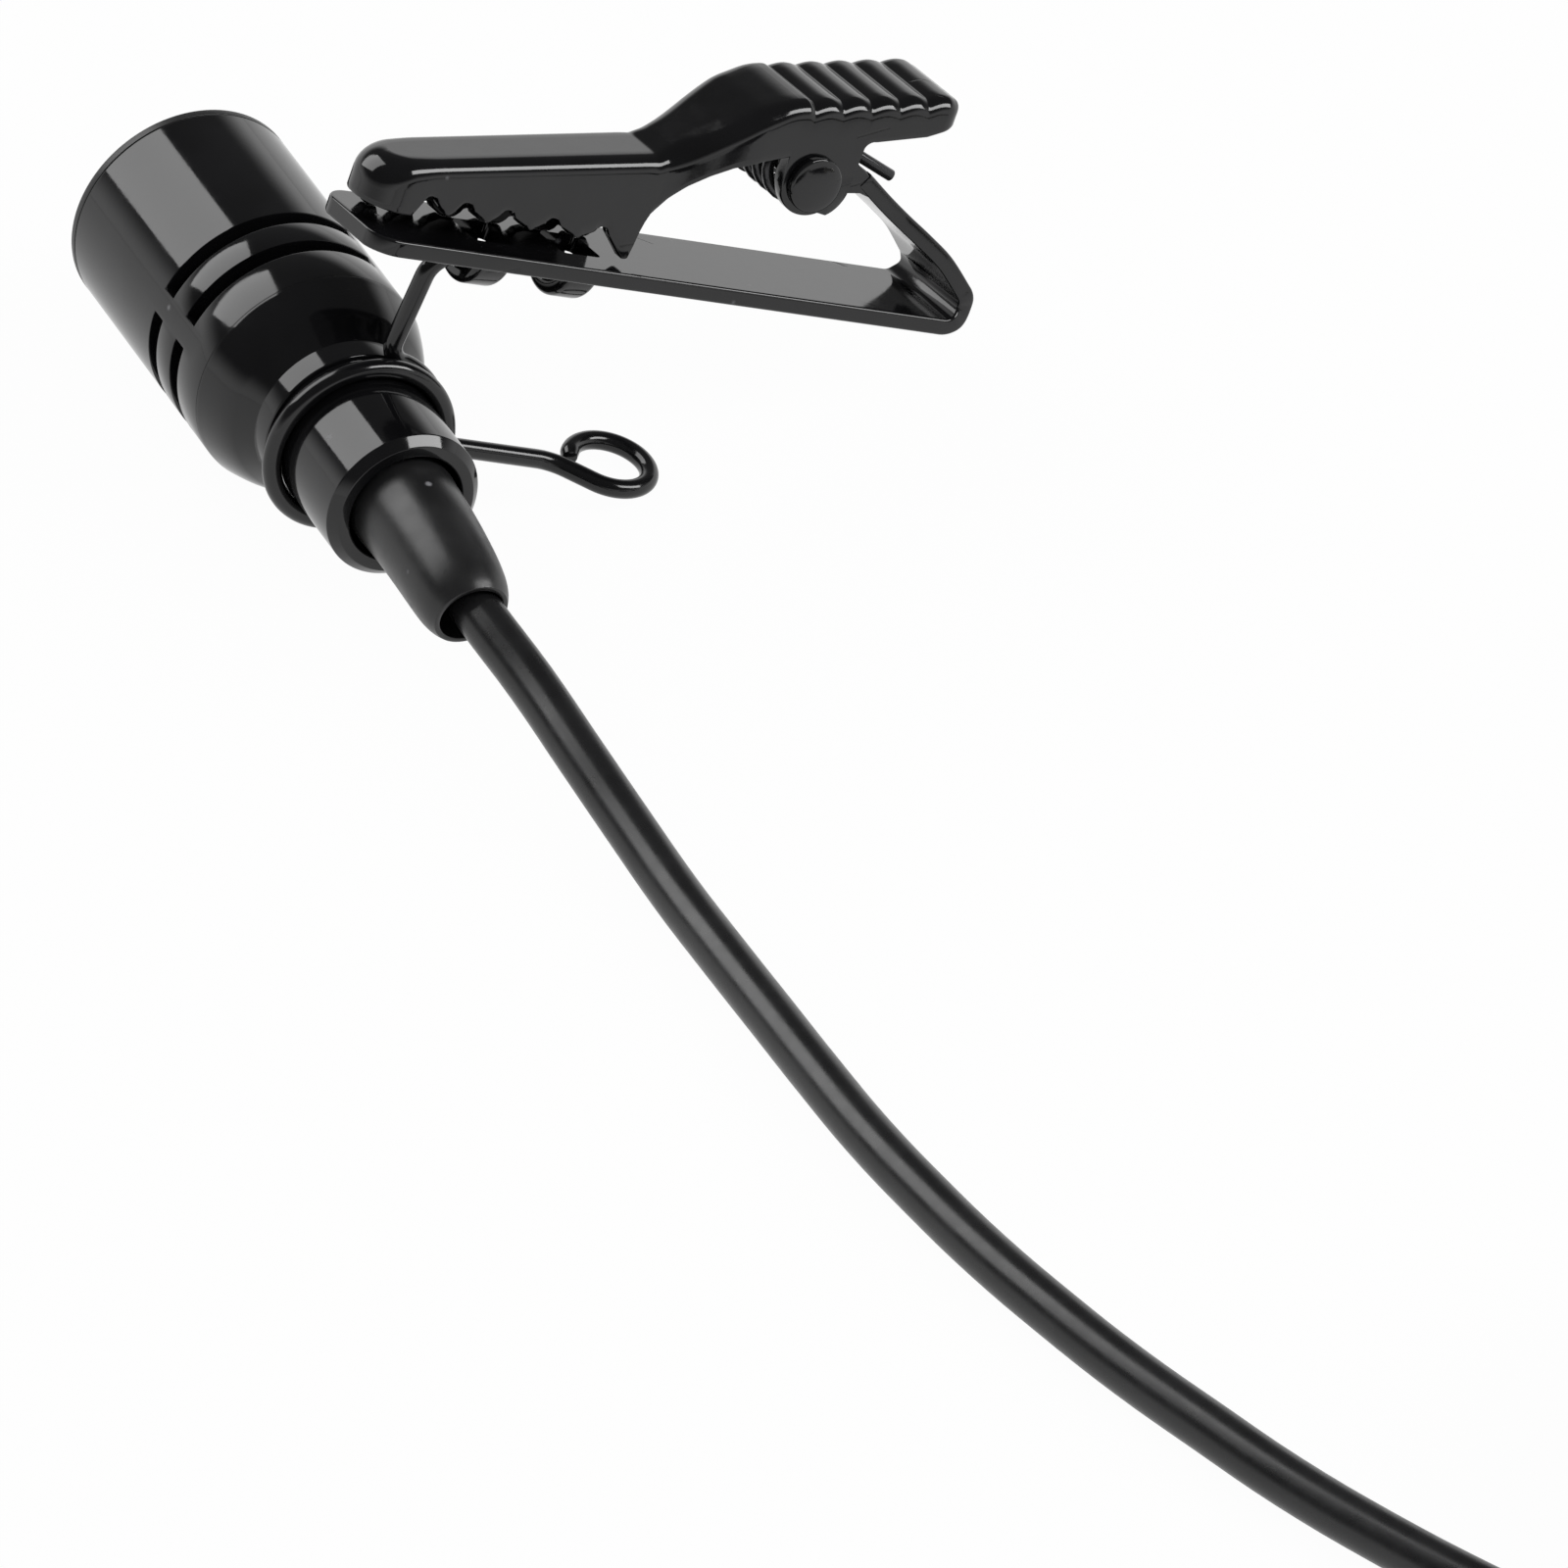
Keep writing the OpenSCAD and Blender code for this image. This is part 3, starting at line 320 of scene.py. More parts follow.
class Tree:
    """A node tree with short calls that add and join its nodes."""

    def __init__(self, tree: bpy.types.NodeTree) -> None:
        """Takes over a tree and empties it."""
        self.tree = tree
        tree.nodes.clear()

    def feed(self, socket: Socket, value: object) -> None:
        """Joins or sets a socket.

        Args:
            socket: The input socket.
            value: The socket that feeds it, or its plain value.
        """
        if isinstance(value, Socket):
            self.tree.links.new(value, socket)
        else:
            socket.default_value = value

    def add(self, kind: str, inputs: dict[object, object] | None = None, **settings: object) -> bpy.types.Node:
        """Adds a shader node.

        Args:
            kind: The node's type, without the words that all shader nodes share.
            inputs: What its sockets are joined or set to.
            settings: Its properties.

        Returns:
            The node.
        """
        node = self.tree.nodes.new(f"ShaderNode{kind}")
        for key, value in settings.items():
            setattr(node, key, value)
        for key, value in (inputs or {}).items():
            self.feed(node.inputs[key], value)
        return node

    def maths(self, operation: str, a: object, b: object = 0.0, clamp: bool = False) -> Socket:
        """Adds a Math node on two inputs, and returns its result."""
        return self.add("Math", {0: a, 1: b}, operation=operation, use_clamp=clamp).outputs[0]

    def times(self, a: object, b: object) -> Socket:
        """Multiplies two values."""
        return self.maths("MULTIPLY", a, b)

    def blend(self, factor: object, a: object, b: object) -> Socket:
        """Mixes two colours; the factor says how much of b there is."""
        return self.add("Mix", {0: factor, 6: a, 7: b}, data_type="RGBA").outputs[2]

    def scaled(self, low: float, high: float, value: object, first: float = 0.0, last: float = 1.0) -> Socket:
        """Eases from first to last while the value goes from low to high."""
        inputs = {0: value, 1: low, 2: high, 3: first, 4: last}
        return self.add("MapRange", inputs, interpolation_type="SMOOTHSTEP").outputs[0]

    def noise(self, place: object, scale: object, detail: float) -> Socket:
        """Adds a Noise node, and returns its value."""
        return self.add("TexNoise", {"Vector": place, "Scale": scale, "Detail": detail}).outputs["Fac"]


class Effect(Enum):
    """Surface effects that several finishes share: each group's name, inputs and outputs."""

    TONE = ("mottled_tone", ("Scale",), ("Patch", "Cloud"))
    SPECKS = ("settled_specks", ("Scale", "Amount"), ("Mask",))
    SCRATCHES = ("hair_scratches", ("Scale", "Amount"), ("Mask",))
    GRAIN = ("fine_grain", ("Scale", "Peel"), ("Height",))
    WEAVE = ("cross_weave", ("Scale",), ("Height",))


class Effects:
    """Builds each effect's node group once."""

    @staticmethod
    def start(effect: Effect) -> tuple[Tree, object, object, Socket]:
        """Makes an effect's group with its sockets and nothing else.

        Args:
            effect: The effect.

        Returns:
            The tree, its input node's sockets, its output node's sockets and the object's coordinates.
        """
        name, inputs, outputs = effect.value
        group = bpy.data.node_groups.new(name, "ShaderNodeTree")
        for names, way in ((inputs, "INPUT"), (outputs, "OUTPUT")):
            for socket in names:
                group.interface.new_socket(socket, in_out=way, socket_type="NodeSocketFloat")
        tree = Tree(group)
        ins, outs = group.nodes.new("NodeGroupInput").outputs, group.nodes.new("NodeGroupOutput").inputs
        return tree, ins, outs, tree.add("TexCoord").outputs["Object"]

    @classmethod
    def tone(cls) -> None:
        """Large soft patches, for colour and gloss that aren't the same everywhere."""
        tree, ins, outs, place = cls.start(Effect.TONE)
        tree.feed(outs["Patch"], tree.scaled(0.3, 0.7, tree.noise(place, ins["Scale"], 2.0)))
        finer = tree.times(ins["Scale"], 4.3)
        tree.feed(outs["Cloud"], tree.scaled(0.35, 0.7, tree.noise(place, finer, 5.0)))

    @classmethod
    def specks(cls) -> None:
        """Small separate specks of dust and pits."""
        tree, ins, outs, place = cls.start(Effect.SPECKS)
        cells = tree.add("TexVoronoi", {"Vector": place, "Scale": ins["Scale"]}).outputs
        near = tree.scaled(0.05, 0.16, cells["Distance"], 1.0, 0.0)
        chance = tree.add("SeparateColor", {0: cells["Color"]}).outputs[0]
        tree.feed(outs["Mask"], tree.times(near, tree.maths("LESS_THAN", chance, ins["Amount"])))

    @classmethod
    def scratches(cls) -> None:
        """Thin bent scratches that come and go."""
        tree, ins, outs, place = cls.start(Effect.SCRATCHES)
        total: object = 0.0
        for spin, stretch in ((0.5, 1.0), (1.9, 0.8)):
            spins, stretches = (spin, spin * 0.7, spin * 1.3), (0.12, stretch, stretch)
            turned = tree.add("Mapping", {"Vector": place, "Rotation": spins, "Scale": stretches}).outputs[0]
            wiggle = tree.noise(turned, ins["Scale"], 1.0)
            thin = tree.maths("ABSOLUTE", tree.maths("SUBTRACT", wiggle, 0.5))
            total = tree.maths("MAXIMUM", total, tree.scaled(0.0, 0.006, thin, 1.0, 0.0))
        patch = tree.noise(place, tree.times(ins["Scale"], 1.7), 1.0)
        limit = tree.maths("SUBTRACT", 0.75, tree.times(ins["Amount"], 0.4))
        tree.feed(outs["Mask"], tree.times(total, tree.maths("GREATER_THAN", patch, limit)))

    @classmethod
    def grain(cls) -> None:
        """Fine pebbled skin, and the long soft waves of sprayed enamel under it."""
        tree, ins, outs, place = cls.start(Effect.GRAIN)
        fine = tree.noise(place, ins["Scale"], 2.0)
        slow = tree.noise(place, tree.times(ins["Scale"], 0.12), 1.0)
        tree.feed(outs["Height"], tree.maths("ADD", fine, tree.times(slow, ins["Peel"])))

    @classmethod
    def weave(cls) -> None:
        """Threads that cross over and under each other."""
        tree, ins, outs, place = cls.start(Effect.WEAVE)
        x, y, z = tree.add("SeparateXYZ", {0: place}).outputs
        waves = [tree.maths("SINE", tree.times(s, ins["Scale"])) for s in (tree.maths("ADD", x, z), y)]
        tree.feed(outs["Height"], tree.maths("ABSOLUTE", tree.times(*waves)))

    @classmethod
    def build(cls) -> None:
        """Builds every group."""
        for maker in (cls.tone, cls.specks, cls.scratches, cls.grain, cls.weave):
            maker()


JET = (0.004, 0.004, 0.0045)
DUST = (0.16, 0.16, 0.17)
# What the effects have in common on every finish
TONE_SCALE, SPECK_SCALE, SCRATCH_SCALE = 260.0, 700.0, 140.0
SPECK_DULL, SCRATCH_DULL, SCRATCH_DEPTH = 0.4, 0.35, 0.15
# The share of the colour left in the weave's hollows is painted shade
PEEL, WEAVE_HOLLOW_PAINTED_SHADE = 0.4, 0.3
BUMP_REACH, BUMP_STRENGTH = 0.0001, 0.6


def paint(colour: Sequence[float], share: float = 1.0) -> tuple[float, ...]:
    """A darker or paler share of a colour, with its alpha."""
    return tuple(min(1.0, c * share) for c in colour) + (1.0,)


@dataclass(frozen=True)
class Finish:
    """A surface's colour, gloss, texture and wear."""

    name: str
    slot: str
    colour: tuple[float, float, float]
    roughness: float
    metallic: float = 0.0
    tone: float = 0.25
    haze: float = 0.06
    grain_scale: float = 4000.0
    grain: float = 0.02
    specks: float = 0.0
    scratches: float = 0.0
    woven: float = 0.0

    def effect(self, tree: Tree, effect: Effect, **values: float) -> object:
        """Places an effect's group in this finish, and returns its outputs."""
        return tree.add("Group", values, node_tree=bpy.data.node_groups[effect.value[0]]).outputs

    def material(self) -> bpy.types.Material:
        """Makes the material, or finds it when it was made before.

        Returns:
            The material.
        """
        made = bpy.data.materials.get(self.name)
        if made:
            return made
        made = bpy.data.materials.new(self.name)
        made.use_nodes = True
        tree = Tree(made.node_tree)
        patches = self.effect(tree, Effect.TONE, Scale=TONE_SCALE)
        dark, pale = paint(self.colour, 1 - self.tone), paint(self.colour, 1 + self.tone)
        colour = tree.blend(patches["Patch"], dark, pale)
        rough = tree.maths("ADD", tree.times(patches["Cloud"], self.haze), self.roughness)
        grain = self.effect(tree, Effect.GRAIN, Scale=self.grain_scale, Peel=PEEL)["Height"]
        height = tree.times(grain, self.grain)
        if self.woven:
            threads = self.effect(tree, Effect.WEAVE, Scale=self.woven)["Height"]
            height = tree.maths("ADD", height, threads)
            # The hollows between the threads are painted darker: painted shade that follows the weave's height
            colour = tree.blend(threads, paint(self.colour, WEAVE_HOLLOW_PAINTED_SHADE), colour)
        if self.specks:
            mask = self.effect(tree, Effect.SPECKS, Scale=SPECK_SCALE, Amount=self.specks)["Mask"]
            colour = tree.blend(mask, colour, paint(DUST))
            rough = tree.maths("ADD", rough, tree.times(mask, SPECK_DULL), clamp=True)
        if self.scratches:
            mask = self.effect(tree, Effect.SCRATCHES, Scale=SCRATCH_SCALE, Amount=self.scratches)["Mask"]
            rough = tree.maths("ADD", rough, tree.times(mask, SCRATCH_DULL), clamp=True)
            height = tree.maths("SUBTRACT", height, tree.times(mask, SCRATCH_DEPTH))
        bump = tree.add("Bump", {"Distance": BUMP_REACH, "Strength": BUMP_STRENGTH, "Height": height}).outputs[0]
        look = {"Base Color": colour, "Roughness": rough, "Normal": bump, "Metallic": self.metallic}
        tree.add("OutputMaterial", {0: tree.add("BsdfPrincipled", look).outputs[0]})
        return made


BODY_ENAMEL = Finish("body_enamel_gloss", "body_enamel", JET, 0.07, haze=0.03, specks=0.03, grain=0.015)
BEZEL_ENAMEL = Finish("bezel_enamel_satin", "body_enamel", (0.014, 0.014, 0.0145), 0.36, specks=0.05, grain=0.03)
CLIP_LACQUER = Finish("clip_lacquer_gloss", "clip_lacquer", JET, 0.08, haze=0.04, specks=0.1, scratches=0.35)
WIRE_ENAMEL = Finish("wire_enamel_gloss", "wire_enamel", JET, 0.12, haze=0.04, specks=0.06, grain=0.004)
SPRING_STEEL = Finish(
    "spring_steel_oiled", "spring_steel", (0.045, 0.045, 0.047), 0.2, metallic=0.6, scratches=0.4
)
BOOT_RUBBER = Finish(
    "boot_rubber_satin", "boot_rubber", (0.011, 0.011, 0.0115), 0.3, specks=0.1, grain=0.05, grain_scale=5200.0
)
CABLE_JACKET = Finish(
    "cable_jacket_satin", "cable_jacket", (0.008, 0.008, 0.0085), 0.27, specks=0.08, grain=0.025, grain_scale=5200.0
)
MESH_METAL = Finish("grille_black", "mesh_metal", (0.02, 0.02, 0.021), 0.35, grain=0.1)
FOAM = Finish("wind_foam", "foam", (0.035, 0.035, 0.035), 0.9, grain=1.0, grain_scale=6000.0, tone=0.6)
CLOTH = Finish("acoustic_cloth", "cloth", (0.004, 0.004, 0.004), 0.85, woven=16000.0)
SEAT_RUBBER = Finish("seat_rubber_soft", "seat_rubber", (0.05, 0.05, 0.05), 0.6, grain=0.1)
CAN_METAL = Finish("can_aluminium", "can_metal", (0.72, 0.72, 0.74), 0.3, metallic=1.0, scratches=0.3)
BRASS = Finish("brass_machined", "brass", (0.72, 0.55, 0.25), 0.25, metallic=1.0, scratches=0.3)
FILM = Finish("film_metallised", "film", (0.7, 0.7, 0.66), 0.18, metallic=0.6)
WHITE_PLASTIC = Finish("white_moulding", "white_plastic", (0.75, 0.75, 0.72), 0.45, tone=0.05)
BOARD = Finish("board_laminate", "board", (0.05, 0.2, 0.08), 0.4, woven=12000.0)
BLACK_PLASTIC = Finish("black_moulding", "black_plastic", (0.02, 0.02, 0.02), 0.45)
SOLDER = Finish("solder_bead", "solder", (0.6, 0.6, 0.62), 0.25, metallic=1.0)
LEAD_RED = Finish("lead_insulation", "lead_red", (0.5, 0.06, 0.04), 0.45, tone=0.1)
LEAD_BARE = Finish("lead_tinned", "lead_bare", (0.6, 0.6, 0.6), 0.35, metallic=1.0)
FERRULE_METAL = Finish("ferrule_plated", "ferrule_metal", (0.5, 0.5, 0.52), 0.3, metallic=1.0)
TIE_STRAP = Finish("tie_nylon", "tie_strap", (0.012, 0.012, 0.012), 0.42, grain=0.1, woven=3500.0)
SHELL_LACQUER = Finish("shell_lacquer_satin", "body_enamel", (0.01, 0.01, 0.0105), 0.3, scratches=0.4)
CONTACT_METAL = Finish("contact_nickel", "contact_metal", (0.78, 0.76, 0.7), 0.16, metallic=1.0, scratches=0.35)


# ---- Pieces ----


def placed(name: str, data: bpy.types.ID) -> Object:
    """Puts data into the scene.

    Args:
        name: The name of the new object.
        data: Its mesh, curve, lamp or camera.

    Returns:
        The object.
    """
    made = bpy.data.objects.new(name, data)
    bpy.context.scene.collection.objects.link(made)
    return made


def mesh_of(name: str, shape: Shape, space: Matrix, bevel: float = 0.0) -> bpy.types.Mesh:
    """Turns a shape into a clean mesh.

    Args:
        name: The mesh's name.
        shape: Its points and faces.
        space: The local space that it is measured in.
        bevel: Width of the bevel on its sharp edges, in millimetres.

    Returns:
        The mesh.
    """
    mesh, form = bpy.data.meshes.new(name), bmesh.new()
    points = [form.verts.new(p) for p in shape.points]
    for face in shape.faces:
        form.faces.new([points[i] for i in face])
    bmesh.ops.remove_doubles(form, verts=form.verts, dist=MERGE)
    bmesh.ops.dissolve_degenerate(form, dist=SHORTEST, edges=form.edges)
    bmesh.ops.recalc_face_normals(form, faces=form.faces)
    if bevel:
        limit = radians(BEVEL_FROM)
        edges = [e for e in form.edges if e.is_manifold and e.calc_face_angle(0.0) > limit]
        bmesh.ops.bevel(form, geom=edges, offset=bevel, segments=2, profile=0.6, affect="EDGES", clamp_overlap=True)
    form.to_mesh(mesh)
    form.free()
    mesh.transform(space)
    return mesh


def shade(made: Object, crease: float = 38.0) -> None:
    """Shades a piece smoothly and evens the shading out.

    Args:
        made: The piece.
        crease: The angle above which an edge stays sharp, in degrees.
    """
    made.data.shade_smooth()
    made.data.set_sharp_from_angle(angle=radians(crease))
    made.modifiers.new("even_shading", "WEIGHTED_NORMAL").keep_sharp = True


def piece(
    name: str,
    shape: Shape,
    space: Matrix,
    finish: Finish,
    body: str,
    nodes: Sequence[str] = (),
    bevel: float = 0.0,
    crease: float = 38.0,
    flex: tuple[str, Vector, Vector] | None = None,
) -> Object:
    """Turns a shape into an object that rides on a body, or that stays baked in the shared frame when it has a
    flex.

    Args:
        name: The object's name.
        shape: Its points and faces.
        space: The local space that it is measured in.
        finish: Its surface.
        body: The body that it moves with, unless it has a flex.
        nodes: The solids that it stands for.
        bevel: Width of the bevel on its sharp edges, in millimetres.
        crease: The angle above which an edge stays sharp, in degrees.
        flex: A second body, with where the far part starts and has fully joined it; only whether it is given is
            read, and then the piece is baked into the shared frame and rides on no body.

    Returns:
        The object.
    """
    made = placed(name, mesh_of(name, shape, space, bevel))
    made.data.materials.append(finish.material())
    if flex:
        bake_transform(made)
    else:
        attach(made, body)
    if nodes:
        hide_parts(*nodes)
    shade(made, crease)
    LOG.info("%s: %d faces on %s", name, len(made.data.polygons), body)
    return made


def dress(**finishes: Finish) -> None:
    """Gives solids that keep their shape a finish of their own.

    Args:
        finishes: The finish of each node.
    """
    for node, finish in finishes.items():
        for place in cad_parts[node].material_slots:
            place.material = finish.material()
        LOG.info("%s: %s", node, finish.name)


def carve(target: Object, cutters: Sequence[Shape], space: Matrix) -> None:
    """Cuts closed shapes out of a piece.

    Args:
        target: The piece.
        cutters: What is cut out of it.
        space: The local space of the cutters.
    """
    target.modifiers.remove(target.modifiers["even_shading"])
    for shape in cutters:
        cutter = placed("cutter", mesh_of("cutter", shape, space))
        change = target.modifiers.new("cut", "BOOLEAN")
        change.object, change.operation, change.solver = cutter, "DIFFERENCE", "EXACT"
        bpy.context.view_layer.update()
        seen = target.evaluated_get(bpy.context.evaluated_depsgraph_get())
        result = bpy.data.meshes.new_from_object(seen)
        target.modifiers.remove(change)
        target.data = result
        bpy.data.objects.remove(cutter)
    shade(target)


# ---- Microphone ----


@dataclass
class Microphone:
    """The metal head and rear body, the boot and what the head holds."""

    head_r: float = 6.0
    length: float = 26.65
    shoulder: float = 11.45
    bezel_t: float = 0.48
    bezel_rim: float = 1.5
    bezel_seam: float = 0.14
    skirt_r: float = 4.85
    skirt_y: float = 25.07
    bore_wide: float = 5.17
    seat_r: float = 4.1
    seat_y: float = 13.25
    lead_r: float = 3.3
    wall: float = 0.9
    slot_w: float = 0.92
    slot_rows: int = 2
    slot_pitch: float = 2.5
    slot_start: float = 2.75
    slots_round: int = 3
    slot_bridge: float = 12.4
    slot_turn: float = 27.2
    neck_r: float = 4.3
    neck_end: float = 8.7
    sleeve_r: float = 4.0
    sleeve_len: float = 7.0
    chamfer: float = 0.45
    bore_r: float = 2.95
    bore_len: float = 1.2
    boot_r: float = 2.62
    boot_end_r: float = 2.27
    boot_round: float = 0.38
    boot_hole: float = 1.62
    boot_len: float = 7.85
    boot_sag: float = 0.85
    boot_lean: float = 0.17
    cloth_r: float = 4.92
    cloth_t: float = 0.15
    cloth_ys: tuple[float, float] = (13.3, 20.05)
    foam_r: float = 4.75
    foam_ys: tuple[float, float] = (25.53, 25.9)
    body: str = "microphone"

    def build(self) -> None:
        """Builds and dresses every piece of the microphone."""
        self.housing()
        self.bezel()
        self.rear()
        self.boot()
        self.linings()
        dress(front_mesh=MESH_METAL, capsule_felt=CLOTH, capsule_seat=SEAT_RUBBER, capsule_can=CAN_METAL)
        dress(diaphragm_ring=BRASS, diaphragm=FILM, spacer_ring=WHITE_PLASTIC, backplate=BRASS)
        dress(backplate_holder=WHITE_PLASTIC, contact_ring=BRASS, capsule_board=BOARD, transistor=BLACK_PLASTIC)
        dress(solder_pads=SOLDER, signal_lead=LEAD_RED, shield_lead=LEAD_BARE, crimp_ferrule=FERRULE_METAL)

    def housing(self) -> None:
        """The slotted head: cells of a round grid, left out where a slot is."""
        third = 360 / self.slots_round
        span, cut, kept = third - self.slot_bridge, 44, 6
        turns: list[float] = []
        for i in range(self.slots_round):
            start = self.slot_turn + third * i - span / 2
            turns += spread(start, start + span, cut)[:-1] + spread(start + span, start + third, kept)[:-1]
        ys = [self.shoulder, self.shoulder + 1.2]
        for k in range(self.slot_rows):
            centre = self.shoulder + self.slot_start + k * self.slot_pitch
            ys += [centre - self.slot_w / 2, centre + self.slot_w / 2]
        slots = range(2, len(ys), 2)
        ys += [20.0, 23.0, self.length - self.bezel_t]
        shape, wide, tall = Shape(), len(turns), len(ys)
        for r in (self.head_r, self.head_r - self.wall):
            for y in ys:
                shape.points += [Vector((r * cos(radians(w)), r * sin(radians(w)), y)) for w in turns]
        inner = wide * tall

        def there(i: int, j: int) -> bool:
            """Whether the grid has metal in a cell."""
            return 0 <= i < tall - 1 and not (i in slots and j % wide % (cut + kept) < cut)

        for i in range(-1, tall):
            for j in range(wide):
                a, b = i * wide + j, i * wide + (j + 1) % wide
                if there(i, j):
                    cell = (a, b, b + wide, a + wide)
                    shape.faces += [cell, tuple(k + inner for k in (a, a + wide, b + wide, b))]
                if i >= 0 and there(i, j) != there(i - 1, j):
                    shape.faces.append((a, b, b + inner, a + inner))
                if 0 <= i < tall - 1 and there(i, j) != there(i, j - 1):
                    shape.faces.append((a, a + wide, a + wide + inner, a + inner))
        piece("head_housing", shape, MIC, BODY_ENAMEL, self.body, ["housing"], bevel=0.06)

    def bezel(self) -> None:
        """The front ring, with a rolled outer edge and a fine groove behind it."""
        back, front = self.length - self.bezel_t, self.length
        foot, rim = self.head_r - self.bezel_seam, self.head_r - self.bezel_rim
        line = [
            (self.skirt_r, self.skirt_y, 0.05), (self.bore_wide, self.skirt_y, 0.05), (self.bore_wide, back, 0.02),
            (foot, back, 0.0), (foot, back + 0.04, 0.0), (self.head_r, back + 0.05, 0.03),
            (self.head_r, front, 0.07), (rim, front, 0.14), (rim, back, 0.05), (self.skirt_r, back, 0.02),
        ]
        piece("head_bezel", lathe(softened(line, 0.05), 160), MIC, BEZEL_ENAMEL, self.body, ["front_bezel"])

    def rear(self) -> None:
        """The sleeve, the neck and the domed shoulder, in one turned piece."""
        dome = []
        for i in range(10, 26):
            t = (i / 26) ** 2
            r = self.neck_r + (self.head_r - self.neck_r) * t**0.45
            dome.append((r, self.neck_end + (self.shoulder - self.neck_end) * t))
        line = [
            (self.bore_r, 0, 0.12), (self.sleeve_r - self.chamfer, 0, 0.1), (self.sleeve_r, self.chamfer, 0.12),
            (self.sleeve_r, self.sleeve_len, 0.06), (self.neck_r, self.sleeve_len, 0.1),
            (self.neck_r, self.neck_end - 0.42, 0.05), *dome, (self.head_r, self.shoulder - 0.02, 0.04),
            (self.head_r - 0.05, self.shoulder), (self.bore_wide, self.shoulder), (self.bore_wide, self.seat_y),
            (self.seat_r, self.seat_y), (self.lead_r, 10.35), (self.lead_r, self.bore_len),
            (self.bore_r, self.bore_len),
        ]
        shape = lathe(softened(line, 0.0), 160)
        piece("rear_sleeve", shape, MIC, BODY_ENAMEL, self.body, ["rear_body"], crease=30)

    def boot_point(self, t: float, lean: float) -> Vector:
        """A point of the boot's centre line in the table's space, from the rear rim (0) to its free end (1)."""
        return Vector((-lean * t * t, -self.boot_len * t, AXIS_Z - self.boot_sag * t * t))

    def boot(self) -> None:
        """The rubber strain relief: a hollow taper that bows down under the cable."""
        line: list[tuple[float, float]] = []
        for t in [-0.12] + spread(0, 1, 40):
            u = max(t, 0.0)
            taper = (self.boot_end_r - self.boot_r) * u**1.5 - self.boot_round * u**12
            line.append((t, self.boot_r + taper + 0.06 * exp(-u * 18)))
        rim = (self.boot_end_r - self.boot_round - self.boot_hole) / 2
        for w in spread(0, pi, 10)[1:]:
            line.append((1 + 0.35 * rim / self.boot_len * sin(w), self.boot_hole + rim * (1 + cos(w))))
        line += [(t, self.boot_hole) for t in spread(0.995, 0.3, 12)]
        rows = []
        for t, r in line:
            p, after, before = (self.boot_point(t + step, self.boot_lean) for step in (0, 0.01, -0.01))
            d = (after - before).normalized()
            side = Vector((1, 0, 0))
            side = (side - side.dot(d) * d).normalized()
            rows.append(circle(p, r, side, d.cross(side), around(72)))
        shape = Shape().sheet(rows, loop=True)
        piece("strain_relief_boot", shape, TABLE, BOOT_RUBBER, self.body, ["boot"], crease=60)

    def linings(self) -> None:
        """The acoustic cloth behind the slots, the wind foam and the cable's end inside the boot."""
        low, high = self.cloth_ys
        cloth = lathe(oblong(self.cloth_r, low, self.cloth_r - self.cloth_t, high), 96)
        piece("slot_cloth_tube", cloth, MIC, CLOTH, self.body, ["slot_cloth"])
        low, high = self.foam_ys
        foam = lathe(softened(oblong(0, low, self.foam_r, high), 0.12), 64)
        piece("wind_foam_disc", foam, MIC, FOAM, self.body, ["foam_disc"])
        tail = [Vector((0, 10.0, AXIS_Z))] + [self.boot_point(t, -0.2) for t in spread(0, 1, 16)]
        shape = tube(tail, [Cable.radius] * len(tail), 24)
        piece("cable_in_boot", shape, TABLE, CABLE_JACKET, self.body, ["cable_tail"])


# ---- Wire mount ----


